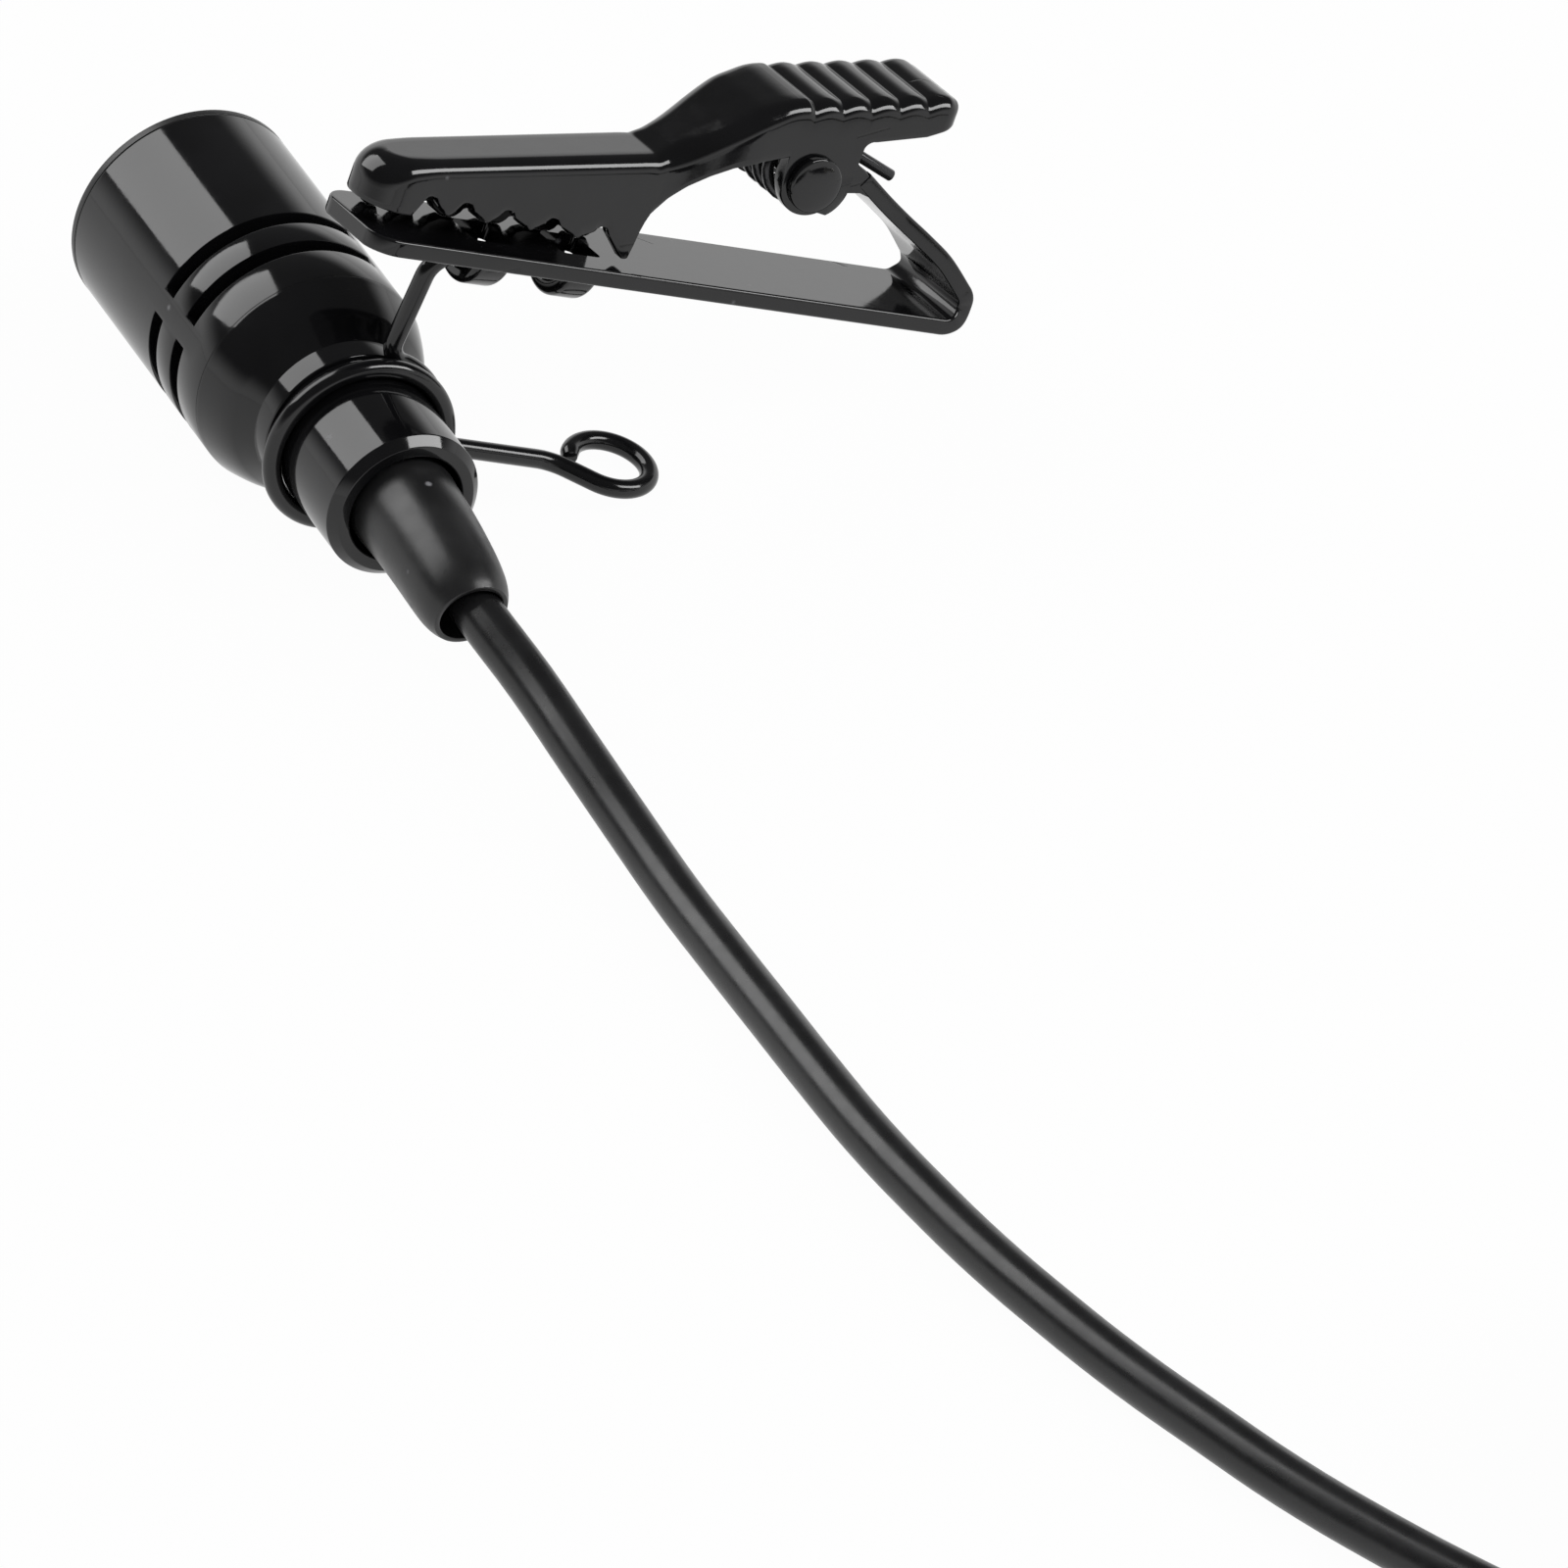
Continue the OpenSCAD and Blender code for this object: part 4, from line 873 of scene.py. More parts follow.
@dataclass
class WireMount:
    """One bent wire: its run under the clip, its leg, its turns round the sleeve and its lever with the eye."""

    wire_r: float = 0.475
    ring_r: float = 4.5
    ring_pitch: float = 1.0
    ring_end: float = -364.4
    bend_r: float = 1.2
    run_h: float = 10.66
    run_len: float = 9.8
    run_bend: float = 1.4
    eye_r: float = 2.025
    eye_at: tuple[float, float] = (13, 1.54)
    knee_at: tuple[float, float] = (-3.1, 0.43)
    elbow_out: float = 0.9
    lever_bends: tuple[float, float] = (1.2, 2.0)
    tip_cut: float = 0.1
    normal: tuple[float, float, float] = (0.297, -0.059, 0.953)
    body: str = "wire_mount"

    @property
    def lean(self) -> float:
        """How far the leg's lower bend turns past the leg's line, in degrees."""
        return degrees(asin(self.bend_r / (self.ring_r + self.bend_r)))

    def on_ring(self, w: float, y: float) -> Vector:
        """A point of the ring's wire at an angle and a place along the microphone."""
        t = radians(w)
        return Vector((self.ring_r * cos(t), y, AXIS_Z + self.ring_r * sin(t)))

    def build(self) -> None:
        """Builds the mount and its lever."""
        start = 90 - self.lean - LEG_LEAN
        last_y = RING_Y + self.ring_pitch * (self.ring_end - start) / 360
        bend_z = (self.ring_r + self.bend_r) * cos(radians(self.lean))
        line = [(self.run_len, self.run_h), (self.run_bend + 3, self.run_h)]
        line += arc((self.run_bend, self.run_h - self.run_bend), self.run_bend, 90, 180, 14)
        line += [(0, bend_z + 1.4)] + arc((self.bend_r, bend_z), self.bend_r, 180, 270 - self.lean, 14)
        to_table = TABLE.inverted() @ LEG
        path = [to_table @ p for p in upright(line)]
        for t in spread(0, 1, 170)[1:]:
            path.append(self.on_ring(start + (self.ring_end - start) * t, RING_Y + (last_y - RING_Y) * t))
        shape = tube(path, [self.wire_r] * len(path), 24)
        piece("mount_wire_bent", shape, TABLE, WIRE_ENAMEL, self.body, ["mount_wire", "ring_coil"])
        self.lever(last_y)

    def lever(self, last_y: float) -> None:
        """The lever that springs the ring open, and its eye.

        Args:
            last_y: Where the ring's wire ends along the microphone.
        """
        n = Vector(self.normal).normalized()
        u = (Vector((1, 0, 0)) - n.x * n).normalized()
        v = n.cross(u)
        centre = Vector((self.eye_at[0], RING_Y - self.eye_at[1], self.wire_r + self.eye_r * sqrt(1 - n.z * n.z)))
        back, out = self.knee_at
        knee = centre + back * u + out * v
        begin = atan2(out, back) + acos(self.eye_r / hypot(back, out)) - 2 * pi
        end = begin + 2 * pi - acos(1 - (2 * self.wire_r + 0.03) / self.eye_r)
        t = radians(self.ring_end)
        first = self.on_ring(self.ring_end, last_y)
        elbow = first + self.elbow_out * Vector((sin(t), 0, -cos(t)))
        eye = circle(centre, self.eye_r, u, v, spread(begin, end, 60))
        path = [first] + fillet(first, elbow, knee, self.lever_bends[0], 12)
        path += fillet(elbow, knee, eye[0], self.lever_bends[1], 12) + eye
        radii = [self.wire_r] * (len(path) - 3) + [self.wire_r - self.tip_cut * k for k in (0.3, 1, 2)]
        path[-2:] = [path[-1] - (path[-1] - path[-2]) * 0.3, path[-1]]
        # Where the wire flexes, as the ring runs out into the lever; the piece is only baked in place and doesn't
        # bend
        sprung = ("ring_lever", TABLE @ first, TABLE @ (elbow + 2.0 * (knee - elbow).normalized()))
        shape = tube(path, radii, 24)
        piece("lever_and_eye", shape, TABLE, WIRE_ENAMEL, self.body, ["ring_lever"], flex=sprung)


# ---- Clip ----


@dataclass
class LowerJaw:
    """The pressed plate with its rear bend, tail strip, lugs and wire straps, and the pin with its spring."""

    plate_w: float = 6.3
    plate_t: float = 0.85
    plate_edge: float = 0.15
    front: float = -0.7
    rear: float = 34.3
    front_r: float = 1.5
    rear_r: float = 0.7
    bend_r: float = 1.5
    strap_r: float = 2.2
    strap_wall: float = 0.75
    strap_len: float = 1.9
    strap_xs: tuple[float, float] = (6.96, 12.06)
    strap_play: float = 0.03
    window: tuple[float, float] = (1.15, 1.35)
    fork_xs: tuple[float, float] = (-1, 3.9)
    fork_zs: tuple[float, float] = (2.5, 9.5)
    lug_in: float = 1.7
    lug_out: float = 2.15
    lug_r: float = 1.5
    pin_r: float = 0.6
    head_r: float = 1.43
    spring_r: float = 1.45
    spring_wire: float = 0.3
    spring_pitch: float = 1.02
    spring_from: float = -30.0
    spring_to: float = -998.0
    spring_soft: float = 0.22
    pad_leg: float = 4.6
    tail_leg: Line = ((4.35, -0.6, -0.88), (2.2, -0.4, -0.72))
    body: str = "lower_jaw"

    def build(self) -> None:
        """Builds every piece of the lower jaw."""
        self.plate()
        self.straps()
        self.lugs()
        self.pin()
        self.spring()

    def half_width(self, x: float, tail: bool) -> float:
        """Half the strip's width.

        Args:
            x: The place along the clip.
            tail: Whether it is the part above the rear bend.

        Returns:
            The half width.
        """
        half = self.plate_w / 2
        for into, r in ((x - self.front, self.front_r), (self.rear - x, self.rear_r)):
            if into < r:
                half += sqrt(max(r**2 - (r - into) ** 2, 0)) - r
        if tail:
            flank = [(PIVOT[0] + 2.2, 2.09), (self.rear - 5.3, 2.4), (self.rear - 0.6, 3.0), (self.rear, 3.0)]
            half = min(half, value_at(flank, x))
        return half

    def bent_line(self) -> list[tuple[Vector, Vector, float]]:
        """The line of the plate, its rear bend and its tail.

        Returns:
            Its points, each with the strip's upward direction and half width.
        """
        flat_end = self.rear - self.bend_r - 0.2
        xs = [self.front + self.front_r * (1 - cos(w)) for w in spread(0, pi / 2, 12)]
        xs += spread(xs[-1], flat_end, 60)[1:]
        line = [(Vector((x, -self.plate_t)), Vector((0, 1)), self.half_width(x, False)) for x in xs]
        centre = Vector((flat_end, self.bend_r - self.plate_t))
        for w in spread(-90, 45, 26)[1:]:
            p = centre + self.bend_r * ray(w)
            share = max(0.0, min(1.0, (w + 10) / 55))
            wide, slim = self.half_width(p.x, False), self.half_width(p.x, True)
            line.append((p, (centre - p).normalized(), wide + (slim - wide) * share))
        tail = [line[-1][0]]
        for back, z in ((2.2, 3.05), (3.7, 3.95), (5.1, 4.7), (6.5, 5.5), (8.1, 6.5)):
            tail.append(Vector((self.rear - back, z)))
        tail = through(tail, 8)
        for p, d in list(zip(tail, headings(tail)))[1:]:
            line.append((p, Vector((-d.y, d.x)), self.half_width(p.x, True)))
        return line

    def plate(self) -> None:
        """The plate and tail strip: a rounded section carried along their bent line."""
        t = self.plate_t
        rows = []
        for i, (p, n, half) in enumerate(self.bent_line()):
            full = min(i, 2) / 2
            inset = 0.1 * (1 - full)
            radius = self.plate_edge * (0.4 + 0.6 * full)
            rows.append(stood(p, n, softened(oblong(-half, inset, half, t - inset), radius)))
        shape = Shape.closed(rows)
        made = piece("lower_plate_and_tail", shape, CLIP, CLIP_LACQUER, self.body, ["lower_jaw"])
        long, wide = self.window
        cutters = []
        for x in self.strap_xs:
            window = softened(oblong(x - long, -wide, x + long, wide), 0.3)
            cutters.append(Shape.closed([[p.to_3d() + Vector((0, 0, z)) for p in window] for z in (-1.2, 0.4)]))
        low, high = self.fork_zs
        fork = oblong(-self.lug_in, low, self.lug_in, high)
        cutters.append(Shape.closed([[Vector((PIVOT[0] + dx, *p)) for p in fork] for dx in self.fork_xs]))
        carve(made, cutters, CLIP)

    def straps(self) -> None:
        """Two pressed arches that hold the wire's run."""
        inner, half = self.strap_r - self.strap_wall, self.strap_len / 2
        z = -self.plate_t - 2 * (WireMount.wire_r + self.strap_play) + inner
        outer = [(self.strap_r, y, 0.6) for y in (-half, half)]
        line = softened([(inner, -half, 0.15), *outer, (inner, half, 0.15)], 0, 6)
        for number, x in enumerate(self.strap_xs, start=1):
            rows = []
            for w in spread(pi * 0.96, pi * 2.04, 40):
                rows.append([Vector((x + p.y, p.x * cos(w), z + p.x * sin(w))) for p in line])
            piece(f"wire_strap_{number}", Shape.closed(rows), CLIP, CLIP_LACQUER, self.body)

    def lugs(self) -> None:
        """The two ears of the tail strip that hold the pin."""
        line = arc(PIVOT, self.lug_r, 80, 290, 30)
        for back, z in ((9.6, 5.3), (8.4, 5.45), (7.4, 5.2), (7.0, 5.75), (9.2, 7.02)):
            line.append(Vector((self.rear - back, z)))
        for name, low, high in (("near", -self.lug_out, -self.lug_in), ("far", self.lug_in, self.lug_out)):
            piece(f"pivot_lug_{name}", prism(line, low, high), CLIP, CLIP_LACQUER, self.body, bevel=0.08)

    def pin(self) -> None:
        """The pin, with a low dome on each peened head."""
        reach = PAD_HALF + 0.05
        line = [(0.0, -reach - 0.5)]
        line += [(self.head_r * sin(w), -reach - 0.3 - 0.2 * cos(w)) for w in spread(0.15, 1.35, 9)]
        line += [(self.head_r, -reach - 0.22), (self.head_r, -reach - 0.02), (self.head_r - 0.06, -reach)]
        line += [(self.pin_r, -reach), (self.pin_r, reach)] + [(r, -y) for r, y in reversed(line)]
        space = CLIP @ shift(PIVOT[0], 0, PIVOT[1]) @ turn(-90, "X")
        piece("hinge_pin", lathe(line, 72), space, CLIP_LACQUER, self.body, ["pivot_pin"], crease=50)

    def spring(self) -> None:
        """The torsion spring: its turns on the pin and its two legs, with softly rounded ends."""
        start, stop = self.spring_from, self.spring_to
        turns = (start - stop) / 360
        px, pz = PIVOT
        coil = []
        for t in spread(0, 1, int(26 * turns)):
            w = radians(start + (stop - start) * t)
            y = self.spring_pitch * turns * (t - 0.5)
            coil.append(Vector((px + self.spring_r * cos(w), y, pz + self.spring_r * sin(w))))
        w = radians(start)
        pad_end = coil[0] - self.pad_leg * Vector((sin(w), 0, -cos(w)))
        knee = coil[-1] + Vector(self.tail_leg[0])
        tip = knee + Vector(self.tail_leg[1])
        path = [pad_end] + coil + fillet(coil[-1], knee, tip, 2.5, 6) + [tip]
        along, soft = headings(path), self.spring_soft * self.spring_wire
        turned = spread(0, pi / 2, 3)
        backs = [soft * (1 - cos(w)) for w in turned]
        ends = [self.spring_wire - soft + soft * sin(w) for w in turned]
        radii = ends + [self.spring_wire] * (len(path) - 2) + ends[::-1]
        final = [path[-1] - along[-1] * back for back in backs[::-1]]
        path = [path[0] + along[0] * back for back in backs] + path[1:-1] + final
        # The turns wind up one after the other, from the leg on the tail to the leg under the pad; the piece is
        # only baked in place and doesn't wind
        wound = ("upper_jaw", CLIP @ Vector((px, 1.37, pz)), CLIP @ Vector((px - 0.324, -0.791, pz)))
        shape = tube(path, radii, 16)
        piece("torsion_spring_wire", shape, CLIP, SPRING_STEEL, self.body, ["torsion_spring"], flex=wound)


@dataclass
class UpperJaw:
    """The toothed channel with its ribbed thumb pad: one pressed shell with rolled edges."""

    front: float = -0.95
    rear: float = 29.7
    jaw_half: float = 2.0
    nose_r: float = 1.9
    rear_r: float = 0.9
    wall: float = 0.7
    web: float = 1.0
    ear_r: float = 1.75
    grip_to: float = 14.5
    teeth: int = 5
    tooth_r: float = 0.32
    valley_r: float = 0.42
    groove_at: float = 21.35
    groove_step: float = 1.59
    groove_depth: float = 0.19
    far_drop: float = 1.35
    lowest: float = 0.03
    rolled: Line = (
        (-0.9, 1.2), (2.5, 0.8), (13.5, 0.8), (16.0, 1.2), (18.5, 1.1), (20.5, 0.85), (28.5, 0.8), (29.7, 0.7),
    )
    body: str = "upper_jaw"

    def top_line(self) -> list[Vector]:
        """The top, without its grooves.

        Returns:
            Its softened line.
        """
        px, pz = PIVOT
        corners = [
            (self.front - 1, 3.08), (14.25, 5.65, 0.45), (px - 7.5, pz + 0.2, 0.5), (px - 5.35, pz + 1.95, 4.0),
            (px - 3.85, pz + 3.1, 3.0), (px - 2.2, pz + 3.85, 4.0), (px + 8, pz + 3.85 + 0.165 * 10.2),
        ]
        return softened(corners, 1.0, 5, closed=False)

    def bottom_line(self) -> list[Sequence[float]]:
        """The walls' lower edge, from the nose to the rear of the pad.

        Returns:
            Its corners.
        """
        line: list[Sequence[float]] = [(self.front, 1.0), (0.2, 0.95), (1.4, 0.95)]
        for k in range(self.teeth):
            tip_x = self.grip_to * (0.2345 + 0.1517 * k + 0.0076 * k * k)
            tip_z = 0.3 if k == self.teeth - 1 else 1.2 - 0.06 * k
            valley = (tip_x - self.grip_to * (0.0931 + 0.0069 * k) + (0.18 if k == 0 else 0.03), 1.64 - 0.07 * k)
            line += arc(valley, self.valley_r, 165, 15, 12)
            line += arc((tip_x, tip_z + self.tooth_r), self.tooth_r, -150, -30, 8)
        line += [(self.grip_to - 0.25, 1.2), (self.grip_to - 0.1, 2.1), (self.grip_to + 0.1, 2.75)]
        px, pz = PIVOT
        throat = [(-7.2, -2.2), (-6.45, -1.4), (-5.5, -0.6), (-4.55, 0.05), (-3.05, 0.7), (-self.ear_r - 0.03, 1.1)]
        line += [(px + x, pz + z) for x, z in throat]
        line += arc(PIVOT, self.ear_r, 180, 300, 30) + arc((px + 0.45, pz - 0.1), 1.75, 302, 357, 14)
        line += arc((px + 2.85, pz + 1.9), 0.6, 178, 90, 10)
        return line + [(px + 5.6, pz + 3.15), (self.rear, pz + 3.9)]

    def stations(self) -> list[tuple[Vector, Vector]]:
        """Places along one side of the outline seen from above.

        Returns:
            The places, each with its outward direction.
        """
        nose = Vector((self.front + self.nose_r, self.jaw_half - self.nose_r))
        result = [(nose + self.nose_r * ray(w), ray(w)) for w in spread(180, 90, 18)]
        bend, corner = self.grip_to + 0.3, self.rear - self.rear_r
        xs = spread(nose.x, bend, 150)[1:]
        result += [(Vector((x, self.jaw_half)), Vector((0, 1))) for x in xs]
        wide = ((self.grip_to + 0.1, self.jaw_half), (19.2, PAD_HALF))
        xs = spread(bend, 20.5, 60)[1:] + spread(20.5, corner, 260)[1:]
        result += [(Vector((x, value_at(wide, x, smooth=True))), Vector((0, 1))) for x in xs]
        tail = Vector((corner, PAD_HALF - self.rear_r))
        return result + [(tail + self.rear_r * ray(w), ray(w)) for w in spread(90, 0, 10)[1:]]

    def build(self) -> None:
        """Builds the shell: a section at each station, joined round the outline and across the top."""
        top, bottom = self.top_line(), self.bottom_line()
        ramp = ((self.groove_at - 0.45, 0.0), (self.groove_at, self.groove_depth))
        grip = ((0.0, 0.0), (1.6, 1.0), (13.0, 1.0), (14.2, 0.0))

        def height(x: float) -> float:
            """The top's height at x, with its grooves."""
            ripple = sin(pi * (x - self.groove_at) / self.groove_step)
            return value_at(top, x) - value_at(ramp, x, smooth=True) * (1 - sqrt(ripple * ripple + 0.006))

        def section_at(p: Vector, n: Vector, drop: float) -> list[Vector]:
            """The wall's section, from the top over the rolled edge and round the wall to the roof.

            Args:
                p: The station.
                n: Its outward direction.
                drop: How much lower than drawn the teeth stand.

            Returns:
                The section.
            """
            r = value_at(self.rolled, p.x, smooth=True)
            low = value_at(bottom, p.x) if p.x > self.front + 0.01 else 1.0
            if drop:
                low = max(low - drop * value_at(grip, p.x, smooth=True), self.lowest)
            section: list[Vector] = []
            for w in spread(90, 0, 8):
                q = p - n * r * (1 - cos(radians(w)))
                section.append(Vector((q.x, q.y, height(q.x) - r * (1 - sin(radians(w))))))
            section += [Vector((p.x, p.y, z)) for z in spread(section[-1].z, low + 0.1, 5)[1:]]
            for inset, lift in ((0.03, 0.03), (0.1, 0.0), (self.wall - 0.1, 0.0), (self.wall, 0.1)):
                q = p - n * inset
                section.append(Vector((q.x, q.y, low + lift)))
            roof = max(value_at(top, q.x) - self.web, low + 0.3)
            section += [Vector((q.x, q.y, z)) for z in spread(low + 0.1, roof - 0.15, 4)[1:]]
            q = p - n * (self.wall + 0.2)
            return section + [Vector((q.x, q.y, roof))]

        left = [section_at(p, n, self.far_drop) for p, n in self.stations()]
        near = [section_at(p, n, 0.0) for p, n in self.stations()]
        right = [[Vector((q.x, -q.y, q.z)) for q in section] for section in near]
        nose, tail = self.across(left[0], right[0], 2), self.across(right[-1], left[-1], 10)
        shape = Shape().sheet(left[::-1] + nose[1:-1] + right + tail[1:-1], ring=True)
        for k in (0, -1):
            shape.sheet([between(a[k], b[k], 8) for a, b in zip(left, right)])
        piece("toothed_channel_and_pad", shape, CLIP, CLIP_LACQUER, self.body, ["upper_jaw"], crease=42)

    @staticmethod
    def across(first: list[Vector], last: list[Vector], steps: int) -> list[list[Vector]]:
        """Sections between two sections, with both of these."""
        return [list(section) for section in zip(*(between(a, b, steps) for a, b in zip(first, last)))]


# ---- Cable ----


@dataclass
class Cable:
    """The free cable, its coil with the tie, and the plug on its end."""

    radius: float = 1.22
    centre: tuple[float, float] = (38.0, -94.5)
    inner: float = 9.0
    step: float = 2.9
    turns: float = 12.42
    layers: int = 4
    begin: float = 208.0
    low: float = 1.75
    lead: float = 2.44
    boot_len: float = 9.0
    boot_rings: int = 5
    boot_bore: float = 1.3
    tie_t: float = 0.5
    tie_w: float = 4.0
    tie_at: float = 100.0
    total: float = 1.19
    route: Line = (
        (0.11, -6.2, 5.47), (0.2, -7.85, 5.15), (0.8, -12.5, 4.0), (1.1, -17.5, 3.0), (1.4, -22, 2.05),
        (1.6, -27, 1.35), (1.7, -32, 1.25), (1.8, -37, 1.25), (1.9, -42, 1.25), (2.1, -47, 1.25), (2.6, -52, 1.25),
        (3.3, -57, 1.25), (4.3, -62, 1.25), (5.5, -67, 1.25), (7.0, -72, 1.25), (8.6, -77, 1.25), (10.6, -82, 1.25),
        (12.9, -87, 1.3), (15.5, -92, 1.4), (18.2, -97, 1.6),
    )
    body: str = "microphone"

    @property
    def outer(self) -> float:
        """The coil's outermost radius."""
        return self.inner + self.step * self.turns / self.layers

    def coil_point(self, u: float) -> Vector:
        """A point of the coil, in which each layer winds inwards or outwards over the one below.

        Args:
            u: The turns so far.

        Returns:
            The point.
        """
        each = self.turns / self.layers
        layer = min(int(u / each), self.layers - 1)
        v = u - layer * each
        r = self.outer - self.step * v if layer % 2 == 0 else self.inner + self.step * v
        before = 2 * v + 0.5 if layer > 0 and v < 0.25 else 1.0
        after = 2 * (v - each) + 0.5 if layer < self.layers - 1 and v > each - 0.25 else 0.0
        climb = layer + wave(after) - (1 - wave(before))
        w = radians(self.begin) + 2 * pi * u
        x, y = self.centre
        return Vector((x + r * cos(w), y + r * sin(w), self.low + self.step * climb))

    def leading(self, w: float, z: float, side: int) -> Vector:
        """The point where the cable runs straight into the coil (side -1) or out of it (side 1)."""
        x, y = Vector(self.centre) + self.outer * ray(w) + side * self.lead * ray(w + 90)
        return Vector((x, y, z))

    def line(self) -> list[Vector]:
        """The cable's centre line.

        Returns:
            Its points, from inside the boot to inside the plug.
        """
        leave = self.leading(self.begin + 360 * self.turns, self.low + (self.layers - 1) * self.step, 1)
        line = [Vector(p) for p in self.route] + [self.leading(self.begin, self.low, -1)]
        line += [self.coil_point(u) for u in spread(0, self.turns, round(self.turns * 24))] + [leave]
        x, y, z = PLUG_AT
        for t in spread(0, 1, 8)[1:]:
            line.append(Vector((x, leave.y + (y - leave.y) * t, z + (leave.z - z) * (1 - wave(t)))))
        return line + [Vector((x, y + self.boot_len + 2, z))]

    def cord(self) -> Object:
        """Lays the cable as one smooth curve.

        Returns:
            The cable.
        """
        curve = bpy.data.curves.new("cable_run", "CURVE")
        curve.dimensions, curve.resolution_u = "3D", 4
        curve.bevel_depth, curve.bevel_resolution, curve.use_fill_caps = self.radius * MM, 10, True
        points = [TABLE @ p for p in self.line()]
        knots = curve.splines.new("BEZIER").bezier_points
        knots.add(len(points) - 1)
        for knot, p in zip(knots, points):
            knot.co = p
            knot.handle_left_type = knot.handle_right_type = "AUTO"
        cable = placed("cable_run", curve)
        curve.materials.append(CABLE_JACKET.material())
        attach(cable, "microphone")
        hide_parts("cable", "cable_coil", "cable_end")
        LOG.info("cable_run: %d knots", len(points))
        return cable

    def build(self) -> None:
        """Lays the cable, then makes the plug and the tie that go with it."""
        cable, tie, sleeve = self.cord(), self.tie(), self.plug_boot()
        plug = {"plug_shell": SHELL_LACQUER, "plug_sleeve": CONTACT_METAL, "plug_insulators": BLACK_PLASTIC}
        plug |= {"plug_ring": CONTACT_METAL, "plug_tip": CONTACT_METAL}
        dress(**plug)

    def tie(self) -> Object:
        """The strap round the coil: a band that follows the bundle's section.

        Returns:
            The strap.
        """
        w, t = self.tie_w / 2, self.tie_t / 2
        room = self.radius + 0.05 + t
        base = 0.03 + t
        top = base + (self.layers - 1) * self.step + 2 * (self.radius + t)
        outline = softened(oblong(self.inner - room, base, self.outer + room, top), 1.3, 8)
        section = softened(oblong(-w, -t, w, t), 0.14, 3)
        rows = []
        for before, p, after in zip(outline[-1:] + outline, outline, outline[1:] + outline[:1]):
            d = (after - before).normalized()
            rows.append(stood(p, Vector((d.y, -d.x)), section))
        space = TABLE @ shift(*self.centre, 0) @ turn(self.tie_at, "Z")
        shape = Shape().sheet(rows, ring=True, loop=True)
        return piece("coil_strap", shape, space, TIE_STRAP, self.body, ["coil_tie"])

    def plug_boot(self) -> Object:
        """The plug's rubber tail, with its bending grooves.

        Returns:
            The tail.
        """
        line = [(self.boot_bore, 0.0, 0.1), (1.95, 0.0, 0.25)]
        for k in range(self.boot_rings):
            a = 1.0 + 1.25 * k
            r = 1.98 + 0.6 * (a / self.boot_len)
            line += [(r, a, 0.1), (r - 0.32, a + 0.12, 0.08), (r - 0.3, a + 0.55, 0.08), (r + 0.04, a + 0.67, 0.1)]
        full, end = self.boot_len, self.boot_len + 1.4
        line += [(2.55, full - 0.9, 0.2), (2.7, full, 0.05), (2.7, end, 0.1), (self.boot_bore, end, 0.1)]
        shape = lathe(softened(line, 0.1, 3), 64)
        return piece("plug_strain_relief", shape, PLUG, BOOT_RUBBER, self.body, ["plug_boot"])


# ---- Studio ----


@dataclass(frozen=True)
class Lamp:
    """A rectangular lamp, with its direction from the object, its size in metres and the direction of its width."""

    name: str
    towards: tuple[float, float, float]
    glow: float
    size: tuple[float, float]
    side: tuple[float, float, float]
    reflects: bool = True


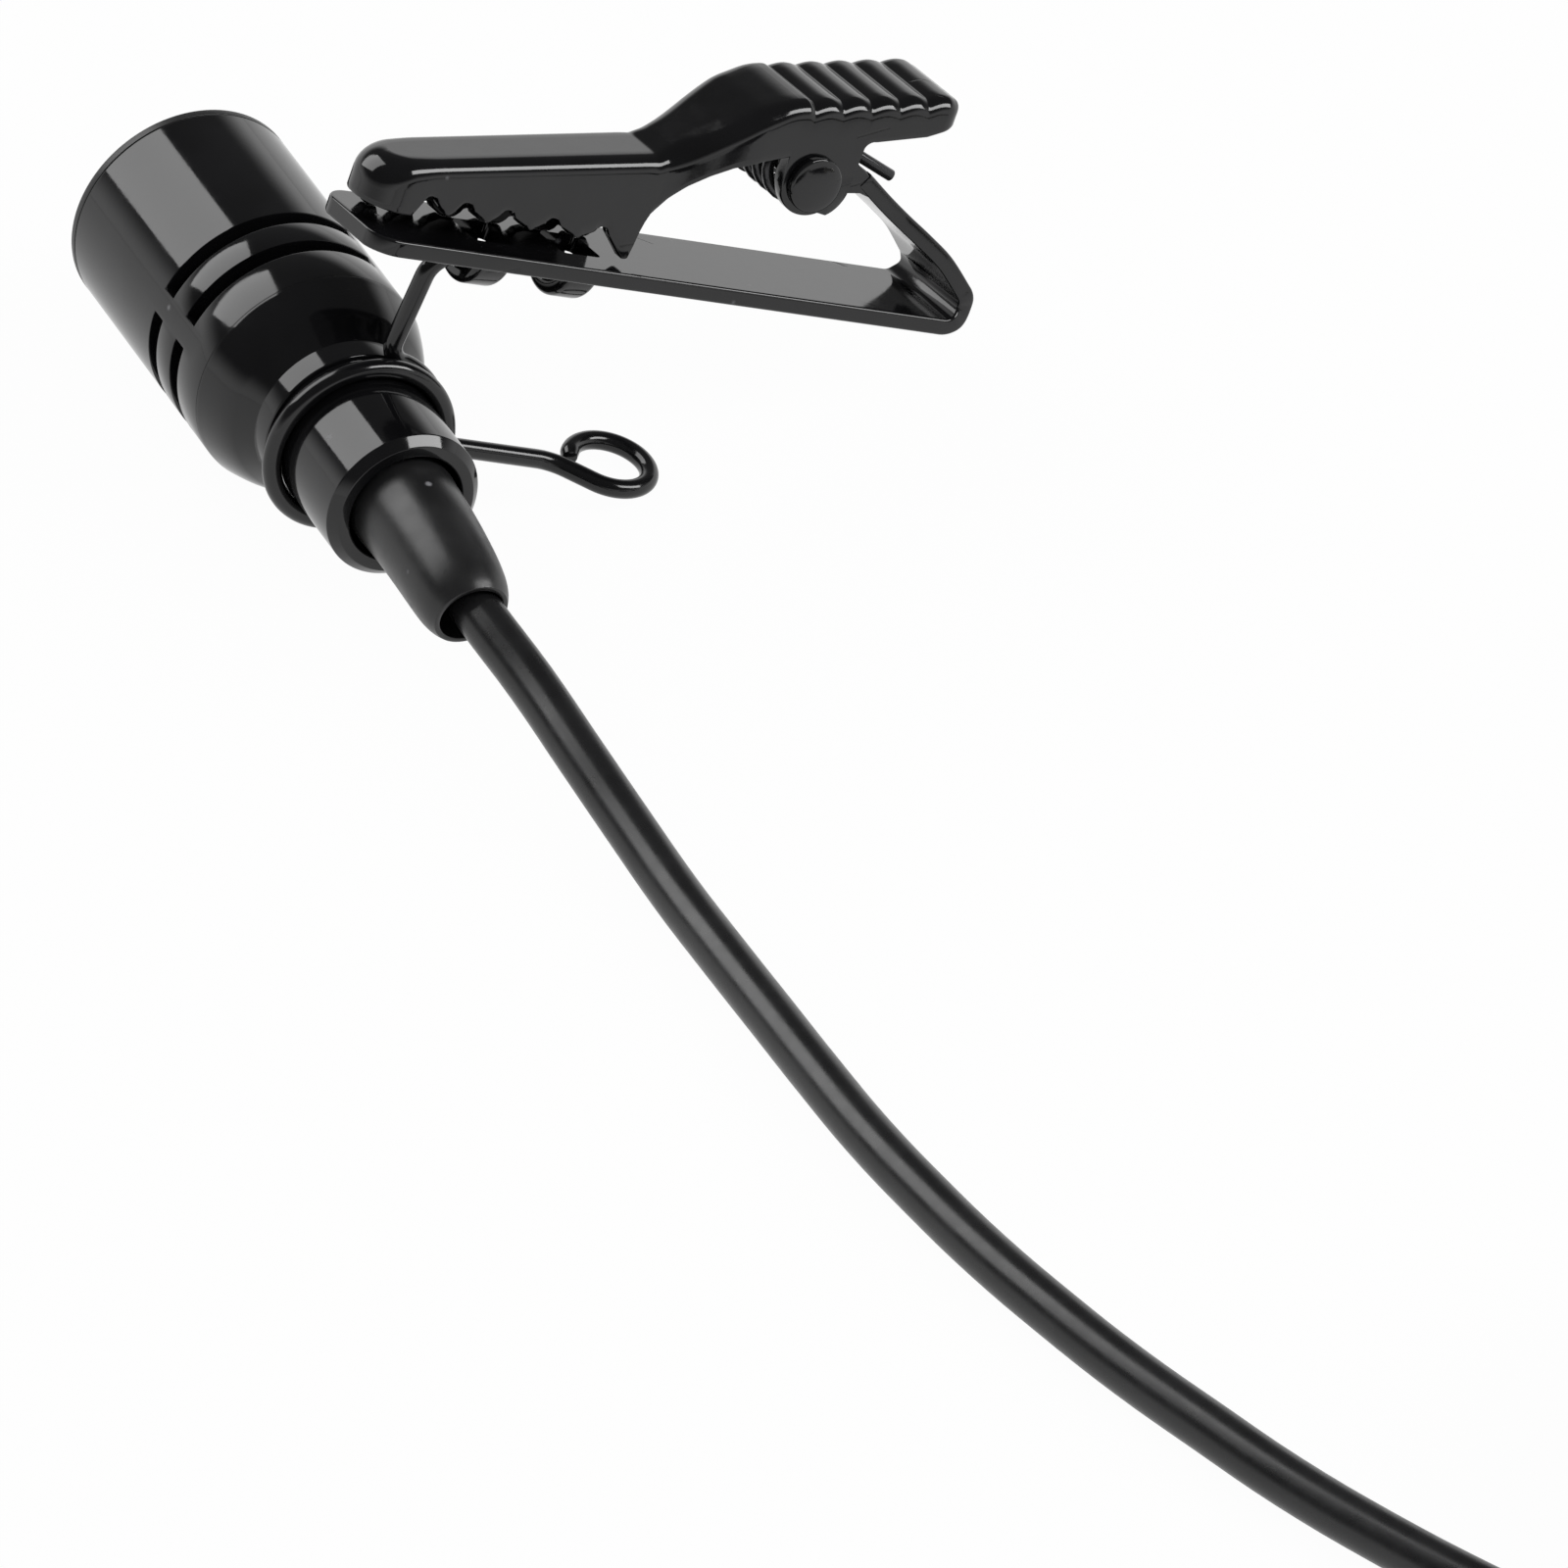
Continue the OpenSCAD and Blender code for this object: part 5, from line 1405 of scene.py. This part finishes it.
@dataclass
class Studio:
    """The camera, the floor, the surroundings and the lamps."""

    place: tuple[float, float, float] = (-0.253486, -0.556288, 0.461758)
    aim: Line = ((0.90295, 0.26665, -0.33702), (-0.42975, 0.5603, -0.70808), (0.0, 0.7842, 0.62051))
    lens: float = 359.03
    focus: tuple[float, float, float] = (-0.0132, 0.0095, 0.006)
    away: float = 0.6
    softbox: Lamp = Lamp("softbox", (-0.3765, 0.6342, 0.6754), 3.5, (0.47, 0.46), (0.89, 0, 0.45))
    side_light: Lamp = Lamp("side_light", (0.68, -0.47, 0.56), 9.0, (0.41, 0.2), (0.716, 0.366, -0.594))
    fill: Lamp = Lamp("fill", (-0.2, -0.35, 1), 0.8, (0.8, 0.8), (1, 0, 0), reflects=False)
    dark: float = 0.1
    floor_half: float = 3.0
    floor_z: float = -0.0001
    floor_tone: float = 0.62
    floor_mix: float = 0.97
    floor_bounce: float = 0.74

    def camera(self) -> None:
        """Places the camera."""
        data = bpy.data.cameras.new("view")
        data.lens, data.sensor_width = self.lens, 36.0
        data.clip_start, data.clip_end = 0.01, 20.0
        camera = placed("view", data)
        camera.matrix_world = Matrix.Translation(self.place) @ Matrix(self.aim).to_4x4()
        bpy.context.scene.camera = camera

    def world(self) -> None:
        """A room that is pale low down and dark overhead, and plain white behind the object."""
        world = bpy.data.worlds.new("room")
        world.use_nodes = True
        bpy.context.scene.world = world
        tree = Tree(world.node_tree)
        up = tree.add("SeparateXYZ", {0: tree.add("TexCoord").outputs["Generated"]}).outputs[2]
        level = tree.scaled(0.04, 0.36, up, 1.0, self.dark)
        strength = tree.maths("MAXIMUM", level, tree.add("LightPath").outputs["Is Camera Ray"])
        ground = tree.add("Background", {"Color": (1, 1, 1, 1), "Strength": strength})
        tree.add("OutputWorld", {0: ground.outputs[0]})

    def floor(self) -> None:
        """A plain white table."""
        mesh = bpy.data.meshes.new("table_top")
        half = self.floor_half
        mesh.from_pydata([(x, y, self.floor_z) for x, y in oblong(-half, -half, half, half)], [], [(0, 1, 2, 3)])
        top = placed("table_top", mesh)
        made = bpy.data.materials.new("table_white")
        made.use_nodes = True
        tree = Tree(made.node_tree)
        path = tree.add("LightPath").outputs
        indirect = tree.maths("MAXIMUM", path["Is Glossy Ray"], path["Is Transmission Ray"])
        seen = tree.times(path["Is Camera Ray"], self.floor_mix)
        share = tree.maths("MAXIMUM", seen, tree.times(indirect, self.floor_bounce))
        matt = tree.add("BsdfDiffuse", {"Color": paint([self.floor_tone] * 3)}).outputs[0]
        mix = tree.add("MixShader", {0: share, 1: matt, 2: tree.add("Emission").outputs[0]})
        tree.add("OutputMaterial", {0: mix.outputs[0]})
        mesh.materials.append(made)

    def hang(self, lamp: Lamp) -> None:
        """Hangs a lamp that faces the object.

        Args:
            lamp: The lamp.
        """
        wide, high = lamp.size
        data = bpy.data.lights.new(lamp.name, "AREA")
        data.shape, data.size, data.size_y = "RECTANGLE", wide, high
        data.energy = lamp.glow * pi * wide * high
        made = placed(lamp.name, data)
        made.visible_glossy = lamp.reflects
        back, side = Vector(lamp.towards).normalized(), Vector(lamp.side)
        across = (side - side.dot(back) * back).normalized()
        facing = Matrix((across, back.cross(across), back)).transposed().to_4x4()
        made.matrix_world = Matrix.Translation(Vector(self.focus) + back * self.away) @ facing

    def build(self) -> None:
        """Builds the surroundings."""
        self.world()
        self.floor()
        for lamp in (self.softbox, self.side_light, self.fill):
            self.hang(lamp)


def main() -> None:
    """Builds the scene: the view and the cable first, then each sub-assembly, then the studio."""
    logging.basicConfig(level=logging.INFO, format="%(name)s %(message)s")
    studio = Studio()
    studio.camera()
    Effects.build()
    for part in (Cable(), Microphone(), WireMount(), LowerJaw(), UpperJaw()):
        part.build()
    studio.build()
    bpy.context.scene.view_settings.view_transform = "Standard"


if __name__ == "__main__":
    main()
